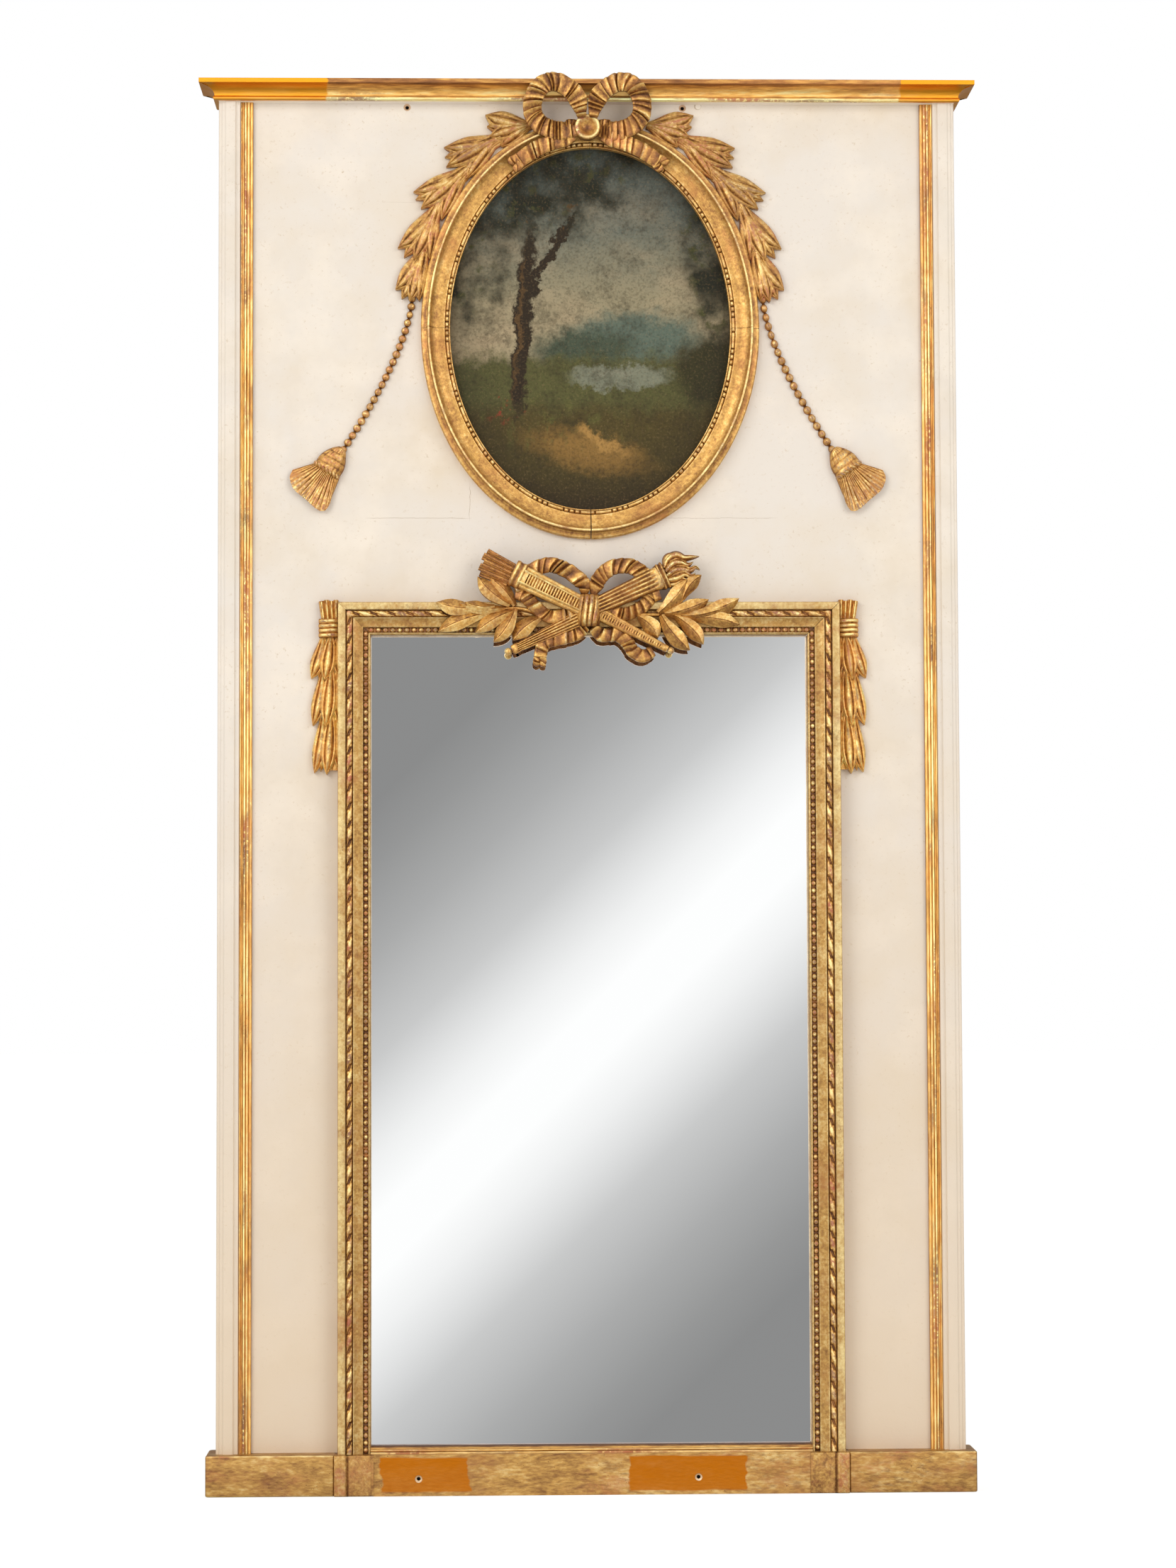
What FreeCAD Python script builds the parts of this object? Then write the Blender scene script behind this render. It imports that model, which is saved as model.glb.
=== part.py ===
"""Trumeau mirror: a painted wall panel with an oval painting over a tall mirror, carved and gilded.

Millimetres. +Z is up, +X is the viewer's right, the front faces -Y, and the wall is the plane y = 0.
The origin is at the middle of the foot, on the wall plane.
"""
import FreeCAD, Part
import Sketcher
import math
import os
import re
from FreeCAD import Vector

SIZES = (
    ("body_width", 958, "over the edge mouldings"),
    ("panel_height", 562.5, "upper panel, from its joint to the top of the boards"),
    ("carcase_depth", 36, "wall to the painted face"),
    ("side_thick", 22, "side boards"),
    ("board_thick", 18, "face boards"),
    ("rebate", 7.3, "opening of the boards behind the mirror frame"),
    ("rail_rise", 111.5, "joint of cross rail and upper panel over the mirror frame"),
    ("top_rail_height", 90, "rail behind the upper panel"),
    ("batten_width", 70, "battens across the back"),
    ("cornice_drop", 19, "underside of the cornice under the top of the boards"),
    ("cornice_height", 24.5, "whole cornice"),
    ("cornice_reach", 24, "how far the cornice stands out"),
    ("cornice_bead", 5.5, "bead under the hollow"),
    ("cornice_fillet", 6, "flat at the top of the cornice"),
    ("edge_width", 28, "cream edge moulding"),
    ("edge_reach", 14, "edge moulding over the face"),
    ("gilt_width", 16.5, "reeded gilt fillet"),
    ("gilt_reach", 8, "gilt fillet over the face"),
    ("reed_count", 4, "reeds on the gilt fillet"),
    ("plinth_return", 12, "plinth beyond the body on each side"),
    ("plinth_height", 52, "foot to the plinth top"),
    ("plinth_reach", 28, "plinth over the face"),
    ("plinth_ease", 5, "softened front edge of the plinth"),
    ("block_width", 50, "plinth block under a mirror stile"),
    ("block_reach", 32, "block over the face"),
    ("sight_height", 9, "small moulding on the plinth"),
    ("sight_reach", 18, "small moulding over the face"),
    ("frame_half", 323.7, "half width over the mirror frame"),
    ("frame_top", 1140, "top of the mirror frame"),
    ("frame_width", 42, "mirror frame moulding"),
    ("frame_reach", 24, "mirror frame over the face"),
    ("frame_fillet", 10, "outer flat of the mirror frame"),
    ("rope_width", 9.5, "channel of the twisted ribbon"),
    ("rope_sink", 6, "depth of that channel"),
    ("hollow_width", 13, "shallow hollow of the frame"),
    ("pearl_width", 6.4, "seat of the pearls"),
    ("pearl_sink", 9, "depth of the pearl seat"),
    ("lip_sink", 6, "depth of the sight lip"),
    ("fit_gap", 0.3, "clearance of a piece in its channel"),
    ("glass_gap", 1.5, "glass to its opening"),
    ("glass_thick", 4, "mirror plate"),
    ("cleat_size", 24, "square cleat on the back"),
    ("cleat_thick", 8, "thickness of a cleat"),
    ("nail_head", 6, "rose head of a nail"),
    ("oval_shift", 3, "oval centre from the centre line"),
    ("oval_under", 3.7, "panel joint to the oval opening"),
    ("oval_over", 72.2, "oval opening to the top of the boards"),
    ("sight_half_width", 182, "half width of the painting in sight"),
    ("ring_width", 38, "oval frame moulding"),
    ("ring_reach", 22, "oval frame over the face"),
    ("ring_fillet", 9, "outer flat of the oval frame"),
    ("ring_fillet_reach", 9, "that flat over the face"),
    ("ring_ridge", 3, "crest of the oval frame"),
    ("ring_pearl", 4.6, "bead and reel of the oval frame"),
    ("canvas_margin", 6, "canvas behind the frame"),
    ("canvas_sink", 3, "canvas under the painted face"),
    ("canvas_thick", 1.2, "primed canvas"),
    ("strainer_width", 40, "bars of the oval strainer"),
    ("screw_hole", 4.2, "fixing hole"),
    ("screw_sink", 10, "countersink of a fixing hole"),
    ("top_hole_drop", 23.5, "upper fixing holes under the top of the boards"),
    ("top_hole_left", -234.7, "upper left fixing hole"),
    ("top_hole_right", 124.6, "upper right fixing hole"),
    ("base_hole_level", 21.5, "lower fixing holes"),
    ("base_hole_left", -220.6, "lower left fixing hole"),
    ("base_hole_right", 135.2, "lower right fixing hole"),
    ("leaf_length", 56, "shortest leaf of the garlands"),
    ("leaf_width", 20, "leaf of the garlands"),
    ("leaf_height", 9, "midrib over the face"),
    ("bead_size", 9.2, "bead of the hanging strings"),
    ("bead_count", 21, "beads in a string"),
    ("string_drop", 208, "height of a hanging string"),
    ("string_swing", 92.1, "how far its foot swings out"),
    ("tassel_length", 75, "tassel along its axis"),
    ("tassel_width", 34, "tassel over its cap and its skirt"),
    ("tassel_relief", 16, "tassel over the face"),
    ("bow_half", 98, "half width over the tails of the bow"),
    ("ribbon_width", 23, "carved ribbon of the bow"),
    ("ribbon_height", 9, "relief of the ribbon"),
    ("button_size", 33.5, "dished button of the bow"),
    ("button_relief", 16, "button over the oval frame"),
    ("trophy_half", 195.5, "half width over the laurel sprays"),
    ("trophy_drop", 12, "middle of the knot under the top of the mirror frame"),
    ("trophy_ribbon", 20, "ribbon of the trophy"),
    ("quiver_mouth", 35, "quiver at its collar"),
    ("torch_mouth", 36, "torch at its cup"),
    ("arrow_width", 8.4, "flight of an arrow"),
    ("flame_width", 17, "tongue of the torch's flame"),
    ("shaft_height", 18, "relief of quiver and torch"),
    ("knot_width", 31, "knot over the crossing"),
    ("knot_height", 42, "knot from top to bottom"),
    ("knot_relief", 25, "knot over the mirror frame"),
    ("laurel_length", 68, "leaf of the laurel sprays"),
    ("laurel_width", 19, "leaf of the laurel sprays, across"),
    ("husk_width", 16, "leaf of the side pendants, across"),
    ("husk_length", 63, "leaf of the side pendants"),
    ("husk_pitch", 58, "tiers of the side pendants"),
    ("husk_reach", 14, "relief of the side pendants"),
)

DERIVED = (
    ("opening_half", "frame_half - frame_width + rebate", "half width between the face stiles"),
    ("opening_top", "frame_top - frame_width + rebate", "underside of the cross rail"),
    ("rail_joint", "frame_top + rail_rise", "joint of cross rail and upper panel"),
    ("carcase_top", "rail_joint + panel_height", "top of the boards"),
    ("cornice_low", "carcase_top - cornice_drop", "underside of the cornice"),
    ("top_hole_level", "carcase_top - top_hole_drop", "upper fixing holes"),
    ("plinth_width", "body_width + 2 * plinth_return", "over the plinth returns"),
    ("block_centre", "frame_half - frame_width / 2", "middle of a block from the centre line"),
    ("sight_half_height", "(panel_height - oval_under - oval_over) / 2 - canvas_margin - fit_gap",
     "half height of the painting in sight"),
    ("oval_level", "rail_joint + oval_under + canvas_margin + fit_gap + sight_half_height",
     "oval centre over the foot"),
    ("bow_level", "oval_level + sight_half_height + ring_width - button_size / 2", "middle of the bow's button"),
    ("trophy_level", "frame_top - trophy_drop", "middle of the trophy's knot"),
)

doc = FreeCAD.newDocument("trumeau_mirror")
sheet = doc.addObject("Spreadsheet::Sheet", "Dim")
DRIVING = [(alias, str(value), note) for alias, value, note in SIZES]
WORKED_OUT = [(alias, f"={formula}", note) for alias, formula, note in DERIVED]
for row, (alias, content, note) in enumerate(DRIVING + WORKED_OUT, start=1):
    sheet.set(f"A{row}", content)
    sheet.setAlias(f"A{row}", alias)
    sheet.set(f"B{row}", note)
    doc.recompute()

ALIASES = {alias for alias, content, note in DRIVING + WORKED_OUT}
SIDES = (("left", -1), ("right", 1))
nodes = []


def size(expression):
    """The value in millimetres of a cell, or of a sum of cells."""
    return float(sheet.evalExpression(expression))


def linked(expression):
    """The same expression as other objects read it, with the sheet's name before each cell."""
    return re.sub("[a-z_]+", lambda word: "Dim." + word[0] if word[0] in ALIASES else word[0], expression)


# Bodies, sketches and pads -------------------------------------------------------------------

def new_body(name, back="0", level="0"):
    """A named body whose own origin lies at y = -back and z = level."""
    body = doc.addObject("PartDesign::Body", name)
    body.Label = name
    body.setExpression(".Placement.Base.y", linked(f"-({back})"))
    body.setExpression(".Placement.Base.z", linked(level))
    nodes.append(body)
    return body


def new_sketch(body, role, lift="0"):
    """A sketch on one of the body's own origin planes, lifted along the plane's normal."""
    sketch = body.newObject("Sketcher::SketchObject", f"{body.Name}_sketch")
    plane = next(item for item in body.Origin.OriginFeatures if item.Role == role)
    sketch.AttachmentSupport = [(plane, "")]
    sketch.MapMode = "FlatFace"
    sketch.setExpression(".AttachmentOffset.Base.z", linked(lift))
    return sketch


def bind(sketch, kind, places, expression):
    """A driving constraint whose value follows the sheet."""
    index = sketch.addConstraint(Sketcher.Constraint(kind, *places, size(expression)))
    sketch.setExpression(f"Constraints[{index}]", linked(expression))


def add_arc(sketch, start, end, radius):
    """The short arc from start to end. A positive radius has its centre to the left of the way.

    A sketch's arcs run anticlockwise, so the answer says which end of the arc is the way's start.
    """
    chord = end - start
    left = Vector(-chord.y, chord.x, 0).normalize() * math.copysign(1, radius)
    rise = math.sqrt(radius * radius - (chord.Length / 2) ** 2)
    centre = (start + end) / 2 + left * rise
    first, last = (start, end) if radius > 0 else (end, start)
    angles = [math.atan2(point.y - centre.y, point.x - centre.x) for point in (first, last)]
    circle = Part.Circle(centre, Vector(0, 0, 1), abs(radius))
    index = sketch.addGeometry(Part.ArcOfCircle(circle, *angles), False)
    return index, (1, 2) if radius > 0 else (2, 1)


def draw_outline(sketch, corners):
    """A closed outline. A corner is (x, y), or (x, y, radius) where an arc leads to the next one."""
    points = [Vector(size(corner[0]), size(corner[1]), 0) for corner in corners]
    edges = []
    for corner, start, end in zip(corners, points, points[1:] + points[:1]):
        if len(corner) == 3:
            edges.append(add_arc(sketch, start, end, size(corner[2])))
        else:
            edges.append((sketch.addGeometry(Part.LineSegment(start, end), False), (1, 2)))
    for (index, ends), (after, after_ends) in zip(edges, edges[1:] + edges[:1]):
        sketch.addConstraint(Sketcher.Constraint("Coincident", index, ends[1], after, after_ends[0]))
    for corner, (index, ends) in zip(corners, edges):
        bind(sketch, "DistanceX", (-1, 1, index, ends[0]), corner[0])
        bind(sketch, "DistanceY", (-1, 1, index, ends[0]), corner[1])
        if len(corner) == 3:
            bind(sketch, "Radius", (index,), f"abs({corner[2]})")


def add_pad(body, sketch, length, both_ways=False):
    """Pads a sketch along its normal, or the same length shared to both sides of it."""
    feature = body.newObject("PartDesign::Pad", f"{body.Name}_pad")
    feature.Profile = sketch
    feature.setExpression("Length", linked(length))
    feature.Midplane = both_ways
    return feature


def cut_through(body, sketch):
    """Cuts a sketch right through the body, to both sides of its plane."""
    doc.recompute()
    before = body.Shape.Volume
    feature = body.newObject("PartDesign::Pocket", f"{body.Name}_cut")
    feature.Profile = sketch
    feature.Type = "ThroughAll"
    feature.Midplane = True
    doc.recompute()
    if not body.Shape.Volume < before:
        raise ValueError(f"{body.Label}: the cut takes nothing away")


def rectangle(left, right, low, high):
    """The four corners of a rectangle."""
    return ((left, low), (right, low), (right, high), (left, high))


def board(name, left, right, low, high, back, thick):
    """A flat board whose back lies at y = -back and whose face stands out to y = -(back + thick)."""
    body = new_body(name, back)
    sketch = new_sketch(body, "XZ_Plane")
    draw_outline(sketch, rectangle(left, right, low, high))
    add_pad(body, sketch, thick)
    return body


def add_screw_holes(body, thick, lefts, level, sunk):
    """Fixing holes from the front of a board, with a countersink where the screw's head sits."""
    doc.recompute()
    sketch = new_sketch(body, "XZ_Plane", thick)
    for place in lefts:
        circle = Part.Circle(Vector(size(place), size(level), 0), Vector(0, 0, 1), size("screw_hole / 2"))
        index = sketch.addGeometry(circle, False)
        bind(sketch, "Radius", (index,), "screw_hole / 2")
        bind(sketch, "DistanceX", (-1, 1, index, 3), place)
        bind(sketch, "DistanceY", (-1, 1, index, 3), level)
    doc.recompute()
    hole = body.newObject("PartDesign::Hole", f"{body.Name}_holes")
    hole.Profile = sketch
    doc.recompute()
    hole.DepthType = "ThroughAll"
    hole.setExpression("Diameter", linked("screw_hole"))
    if sunk:
        hole.HoleCutType = "Countersink"
        hole.HoleCutCustomValues = True
        hole.setExpression("HoleCutDiameter", linked("screw_sink"))
    doc.recompute()


# Carcase -------------------------------------------------------------------------------------

def make_carcase():
    """Two side boards, a rail at the top and at the foot, and two battens across the back."""
    inner = "body_width / 2 - side_thick"
    for side, sign in SIDES:
        edges = sorted((f"{sign} * body_width / 2", f"{sign} * ({inner})"), key=size)
        board(f"carcase_side_{side}", *edges, "0", "carcase_top", "0", "carcase_depth")
    behind = "carcase_depth - board_thick"
    top_rail = board("carcase_top_rail", f"-({inner})", inner, "carcase_top - top_rail_height",
                     "carcase_top", "0", behind)
    add_screw_holes(top_rail, behind, ("top_hole_left", "top_hole_right"), "top_hole_level", False)
    foot = board("carcase_bottom_rail", f"-({inner})", inner, "0", "plinth_height", "0",
                 "carcase_depth")
    add_screw_holes(foot, "carcase_depth", ("base_hole_left", "base_hole_right"),
                    "base_hole_level", False)
    low = "rail_joint - batten_width / 2"
    board("back_batten_upper", f"-({inner})", inner, low, f"{low} + batten_width", "0", behind)


def make_field():
    """The painted face: two full stiles, a cross rail over the mirror and the upper panel."""
    behind = "carcase_depth - board_thick"
    inner = "body_width / 2 - side_thick"
    for side, sign in SIDES:
        edges = sorted((f"{sign} * opening_half", f"{sign} * ({inner})"), key=size)
        board(f"field_stile_{side}", *edges, "plinth_height", "carcase_top", behind, "board_thick")
    board("field_cross_rail", "-opening_half", "opening_half", "opening_top", "rail_joint", behind,
          "board_thick")
    panel = board("field_upper_panel", "-opening_half", "opening_half", "rail_joint", "carcase_top",
                  behind, "board_thick")
    add_screw_holes(panel, "board_thick", ("top_hole_left", "top_hole_right"), "top_hole_level", True)
    opening = new_sketch(panel, "XZ_Plane")
    draw_ellipse(opening, "sight_half_width + canvas_margin + fit_gap",
                 "sight_half_height + canvas_margin + fit_gap")
    cut_through(panel, opening)


def draw_ellipse(sketch, half_width, half_height):
    """An upright ellipse about the painting's centre."""
    centre = Vector(size("oval_shift"), size("oval_level"), 0)
    crown = centre + Vector(0, size(half_height), 0)
    flank = centre + Vector(size(half_width), 0, 0)
    ellipse = sketch.addGeometry(Part.Ellipse(crown, flank, centre), False)
    sketch.exposeInternalGeometry(ellipse)
    long_axis, short_axis = ellipse + 1, ellipse + 2
    sketch.addConstraint(Sketcher.Constraint("Vertical", long_axis))
    bind(sketch, "Distance", (long_axis,), f"2 * ({half_height})")
    bind(sketch, "Distance", (short_axis,), f"2 * ({half_width})")
    bind(sketch, "DistanceX", (-1, 1, ellipse, 3), "oval_shift")
    bind(sketch, "DistanceY", (-1, 1, ellipse, 3), "oval_level")


def make_edges():
    """The stepped cream moulding on each long edge and the reeded gilt fillet inside it."""
    for side, sign in SIDES:
        outer = f"{sign} * body_width / 2"
        steps = ((0, 0), (0, 0.7), (0.16, 0.7), (0.16, 0.85), (0.34, 0.85), (0.34, 1), (0.8, 1),
                 (0.8, 0.72), (1, 0.72), (1, 0))
        corners = [(f"{outer} - {sign} * edge_width * {across}", f"-edge_reach * {reach}")
                   for across, reach in steps]
        upright(f"edge_moulding_{side}", corners, "cornice_low - plinth_height")
        start = f"{outer} - {sign} * edge_width"
        corners = reeded_corners(start, -sign)
        upright(f"gilt_fillet_{side}", corners, "cornice_low - plinth_height")


def reeded_corners(start, sign):
    """Round reeds side by side on a flat strip."""
    count = int(size("reed_count"))
    corners = [(start, "0")]
    for reed in range(count):
        corners.append((f"{start} + {sign} * gilt_width * {reed} / reed_count", "-gilt_reach * 0.7",
                        f"{sign} * gilt_width / reed_count * 0.56"))
    corners.append((f"{start} + {sign} * gilt_width", "-gilt_reach * 0.7"))
    corners.append((f"{start} + {sign} * gilt_width", "0"))
    return corners


def upright(name, corners, length, level="plinth_height"):
    """A moulding that stands on the plinth, with its outline seen from above."""
    body = new_body(name, "carcase_depth", level)
    sketch = new_sketch(body, "XY_Plane")
    draw_outline(sketch, corners)
    add_pad(body, sketch, length)
    return body


# Cornice and plinth --------------------------------------------------------------------------

def cornice_corners(out):
    """Bead, hollow and top flat. out(reach) places a reach over the wall side, and the rest is a level."""
    bead_top = "cornice_low + cornice_bead"
    flat_low = "cornice_low + cornice_height - cornice_fillet"
    top = "cornice_low + cornice_height"
    return ((out("0"), "cornice_low"), (out("cornice_reach * 0.25"), "cornice_low"),
            (out("cornice_reach * 0.25"), bead_top), (out("cornice_reach * 0.92"), flat_low),
            (out("cornice_reach"), flat_low), (out("cornice_reach"), top), (out("0"), top))


def make_cornice():
    """A backing strip on the face, the front moulding and its two returns, mitred at the corners."""
    board("cornice_backing", "-body_width / 2", "body_width / 2", "cornice_low", "carcase_top",
          "carcase_depth", "edge_reach")
    back = "carcase_depth + edge_reach"
    half = "body_width / 2"
    front = new_body("cornice_front", back)
    sketch = new_sketch(front, "YZ_Plane")
    draw_outline(sketch, hollowed(cornice_corners(lambda reach: f"-({reach})"), 3, -1))
    add_pad(front, sketch, "body_width + 2 * cornice_reach", both_ways=True)
    for side, sign in SIDES:
        corners = ((f"{sign} * {half}", "0"), (f"{sign} * ({half} + cornice_reach)", "-cornice_reach"),
                   (f"{sign} * ({half} + cornice_reach)", "0"))
        mitre = new_sketch(front, "XY_Plane")
        draw_outline(mitre, corners)
        cut_through(front, mitre)
        body = new_body(f"cornice_return_{side}")
        outline = cornice_corners(lambda reach: f"{sign} * ({half} + {reach})")
        sketch = new_sketch(body, "XZ_Plane")
        draw_outline(sketch, hollowed(outline, 3, sign))
        add_pad(body, sketch, f"{back} + cornice_reach")
        corners = ((f"{sign} * {half}", f"-({back})"), (f"{sign} * {half}", f"-({back} + cornice_reach)"),
                   (f"{sign} * ({half} + cornice_reach)", f"-({back} + cornice_reach)"))
        mitre = new_sketch(body, "XY_Plane")
        draw_outline(mitre, corners)
        cut_through(body, mitre)


def hollowed(corners, after, sign):
    """The same outline with the straight slope before the corner named made a quarter hollow."""
    corners = list(corners)
    start = corners[after - 1]
    corners[after - 1] = (start[0], start[1], f"{sign} * cornice_reach * 0.72")
    return corners


def make_plinth():
    """End sections with their returns, the middle section, the blocks and the small moulding above."""
    outer = "plinth_width / 2"
    block_out = "block_centre + block_width / 2"
    block_in = "block_centre - block_width / 2"
    for side, sign in SIDES:
        body = new_body(f"plinth_{side}")
        wall = f"{sign} * body_width / 2"
        face = "-carcase_depth"
        reach = "carcase_depth + plinth_reach"
        eased = f"{sign} * ({outer} - plinth_ease)"
        turn = f"{sign} * ({outer})"
        corners = ((wall, "0"), (turn, "0"), (turn, f"-({reach} - plinth_ease)", f"{-sign} * plinth_ease"),
                   (eased, f"-({reach})"), (f"{sign} * ({block_out})", f"-({reach})"),
                   (f"{sign} * ({block_out})", face), (wall, face))
        sketch = new_sketch(body, "XY_Plane")
        draw_outline(sketch, corners)
        add_pad(body, sketch, "plinth_height")
        edges = sorted((f"{sign} * ({block_out})", f"{sign} * ({block_in})"), key=size)
        block = board(f"plinth_block_{side}", *edges, "0", "plinth_height", "carcase_depth",
                      "block_reach")
        ease_front(block)
    middle = board("plinth_centre", f"-({block_in})", block_in, "0", "plinth_height", "carcase_depth",
                   "plinth_reach")
    add_screw_holes(middle, "plinth_reach", ("base_hole_left", "base_hole_right"), "base_hole_level",
                    True)
    moulding = new_body("sight_moulding", "carcase_depth", "plinth_height")
    sketch = new_sketch(moulding, "YZ_Plane")
    draw_outline(sketch, (("0", "0"), ("-sight_reach", "0"), ("-sight_reach", "sight_height * 0.25"),
                          ("-sight_reach * 0.8", "sight_height * 0.25", "-sight_height * 0.31"),
                          ("-sight_reach * 0.8", "sight_height * 0.8"),
                          ("-sight_reach * 0.55", "sight_height"), ("0", "sight_height")))
    add_pad(moulding, sketch, "2 * (frame_half - frame_width)", both_ways=True)


def ease_front(block):
    """Chamfers the two upright front edges of a plinth block."""
    doc.recompute()
    depth = size("block_reach")
    plain = block.Tip
    edges = []
    for number, edge in enumerate(plain.Shape.Edges, start=1):
        box = edge.BoundBox
        if box.ZLength > 1 and abs(box.YMin + depth) < 0.1:
            edges.append(f"Edge{number}")
    chamfer = block.newObject("PartDesign::Chamfer", f"{block.Name}_ease")
    chamfer.Base = (plain, edges)
    chamfer.setExpression("Size", linked("plinth_ease / 2"))


# Mirror --------------------------------------------------------------------------------------

CHANNEL = "frame_fillet"
HOLLOW = "frame_fillet + rope_width"
PEARLS = "frame_fillet + rope_width + hollow_width"
LIP = "frame_fillet + rope_width + hollow_width + pearl_width"

FRAME_OUTLINE = (
    ("0", "0"), ("0", "frame_reach"), (CHANNEL, "frame_reach"), (CHANNEL, "frame_reach - rope_sink"),
    (HOLLOW, "frame_reach - rope_sink"), (HOLLOW, "frame_reach * 0.94", "frame_width * 0.45"),
    (PEARLS, "frame_reach * 0.81"), (PEARLS, "frame_reach - pearl_sink"),
    (LIP, "frame_reach - pearl_sink"), (LIP, "frame_reach - lip_sink"),
    ("frame_width", "frame_reach - lip_sink * 1.25"), ("frame_width", "0"))

ROPE_OUTLINE = (
    (f"{CHANNEL} + fit_gap", "frame_reach - rope_sink"),
    (f"{CHANNEL} + fit_gap", "frame_reach - rope_sink * 0.83", "-(rope_width / 2 - fit_gap) * 1.02"),
    (f"{HOLLOW} - fit_gap", "frame_reach - rope_sink * 0.83"),
    (f"{HOLLOW} - fit_gap", "frame_reach - rope_sink"))

PEARL_OUTLINE = (
    (f"{PEARLS} + fit_gap", "frame_reach - pearl_sink"),
    (f"{PEARLS} + fit_gap", "frame_reach - pearl_sink * 0.89", "-(pearl_width / 2 - fit_gap) * 1.02"),
    (f"{LIP} - fit_gap", "frame_reach - pearl_sink * 0.89"),
    (f"{LIP} - fit_gap", "frame_reach - pearl_sink"))


def flipped(radius, sign):
    """An arc's radius for an outline that is drawn the other way round."""
    return f"{sign} * ({radius})"


def frame_stile(name, outline, side, sign):
    """One upright of the mirror frame, from the plinth to its mitre."""
    corners = []
    for across, reach, *arc in outline:
        place = (f"{sign} * (frame_half - ({across}))", f"-({reach})")
        corners.append(place + tuple(flipped(radius, sign) for radius in arc))
    body = upright(f"{name}_{side}", corners, "frame_top - plinth_height")
    inner = f"{sign} * (frame_half - frame_width)"
    drop = "frame_top - frame_width - plinth_height"
    mitre = new_sketch(body, "XZ_Plane")
    draw_outline(mitre, ((f"{sign} * frame_half", "frame_top - plinth_height"), (inner, drop),
                         (inner, "frame_top - plinth_height")))
    cut_through(body, mitre)


def frame_rail(name, outline):
    """The top rail of the mirror frame, mitred at both ends."""
    body = new_body(f"{name}_top", "carcase_depth", "frame_top")
    corners = []
    for across, reach, *arc in outline:
        corners.append((f"-({reach})", f"-({across})") + tuple(flipped(radius, -1) for radius in arc))
    sketch = new_sketch(body, "YZ_Plane")
    draw_outline(sketch, corners)
    add_pad(body, sketch, "2 * frame_half", both_ways=True)
    for side, sign in SIDES:
        outer = f"{sign} * frame_half"
        mitre = new_sketch(body, "XZ_Plane")
        draw_outline(mitre, ((outer, "0"), (f"{sign} * (frame_half - frame_width)", "-frame_width"),
                             (outer, "-frame_width")))
        cut_through(body, mitre)


def make_mirror():
    """The frame with its twisted ribbon and pearls in their channels, the plate and what backs it."""
    parts = (("mirror_frame", FRAME_OUTLINE), ("ribbon_twist", ROPE_OUTLINE),
             ("pearl_row", PEARL_OUTLINE))
    for name, outline in parts:
        for side, sign in SIDES:
            frame_stile(name, outline, side, sign)
        frame_rail(name, outline)
    half = "opening_half - glass_gap"
    low = "plinth_height + glass_gap"
    high = "opening_top - glass_gap"
    board("mirror_glass", f"-({half})", half, low, high, "carcase_depth - glass_thick", "glass_thick")
    back = "carcase_depth - board_thick"
    board("mirror_backboard", f"-({half})", half, low, high, back, "board_thick - glass_thick")
    board("back_batten_lower", "-(body_width / 2 - side_thick)", "body_width / 2 - side_thick",
          "opening_top / 2", "opening_top / 2 + batten_width", "0", back)


# Back of the mirror --------------------------------------------------------------------------

def add_node(name, solids):
    """A node from solids worked out here: one solid, or a group of separate ones."""
    node = doc.addObject("Part::Feature", name)
    node.Label = name
    node.Shape = solids[0] if len(solids) == 1 else Part.makeCompound(solids)
    nodes.append(node)
    return node


def nail_head(place):
    """A rose head: a low pyramid with four hammered facets, on a face that looks to the wall."""
    half = size("nail_head / 2")
    corners = [place + Vector(x * half, 0, z * half) for x, z in ((1, 1), (-1, 1), (-1, -1), (1, -1))]
    tip = [place + (corner - place) * 0.1 + Vector(0, half * 0.5, 0) for corner in corners]
    return faceted([corners, tip])


def make_cleats():
    """Cleats over the edges of the boards that back the plate, four to a side, each with its nail."""
    half = size("cleat_size / 2")
    back = -size("carcase_depth - board_thick")
    cleats = []
    for side, sign in SIDES:
        for share in (0.2, 0.42, 0.64, 0.9):
            level = size("plinth_height") + share * size("opening_top - plinth_height")
            centre = Vector(sign * size("opening_half"), back, level)
            corner = centre - Vector(half, 0, half)
            cleat = Part.makeBox(2 * half, size("cleat_thick"), 2 * half, corner)
            nail = nail_head(centre + Vector(sign * half / 2, size("cleat_thick"), 0))
            cleats.append(cleat.fuse(nail))
    add_node("mirror_cleats", cleats)


# Oval painting -------------------------------------------------------------------------------

def ring_outline():
    """The oval moulding from its sight edge outwards: distances across and heights over the face."""
    pearl = size("ring_pearl")
    width = size("ring_width")
    reach = size("ring_reach")
    flat = size("ring_fillet_reach")
    outer = width - size("ring_fillet")
    crest = outer - size("ring_ridge")
    rim = pearl * 0.3
    seat = reach * 0.46
    step = reach * 0.045
    start = rim + pearl + 2 * step
    outline = [(0, 0), (0, seat), (rim, seat)]
    for angle in (60, 120):
        turn = math.radians(angle)
        outline.append((rim + pearl / 2 * (1 - math.cos(turn)), seat + pearl / 2 * math.sin(turn)))
    outline += [(rim + pearl, seat), (start, seat + step)]
    for angle in (30, 60, 90):
        turn = math.radians(angle)
        outline.append((start + (crest - start) * math.sin(turn),
                        seat + step + (reach - seat - step) * (1 - math.cos(turn))))
    return outline + [(outer, reach), (outer, flat), (width, flat), (width, 0)]


def oval_arc(across, rise, start, end):
    """A stretch of an upright ellipse, across the moulding and over the face, clockwise from the crown."""
    centre = Vector(size("oval_shift"), -size("carcase_depth") - rise, size("oval_level"))
    crown = centre + Vector(0, 0, size("sight_half_height") + across)
    flank = centre + Vector(size("sight_half_width") + across, 0, 0)
    return Part.ArcOfEllipse(Part.Ellipse(crown, flank, centre), start, end).toShape()


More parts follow.
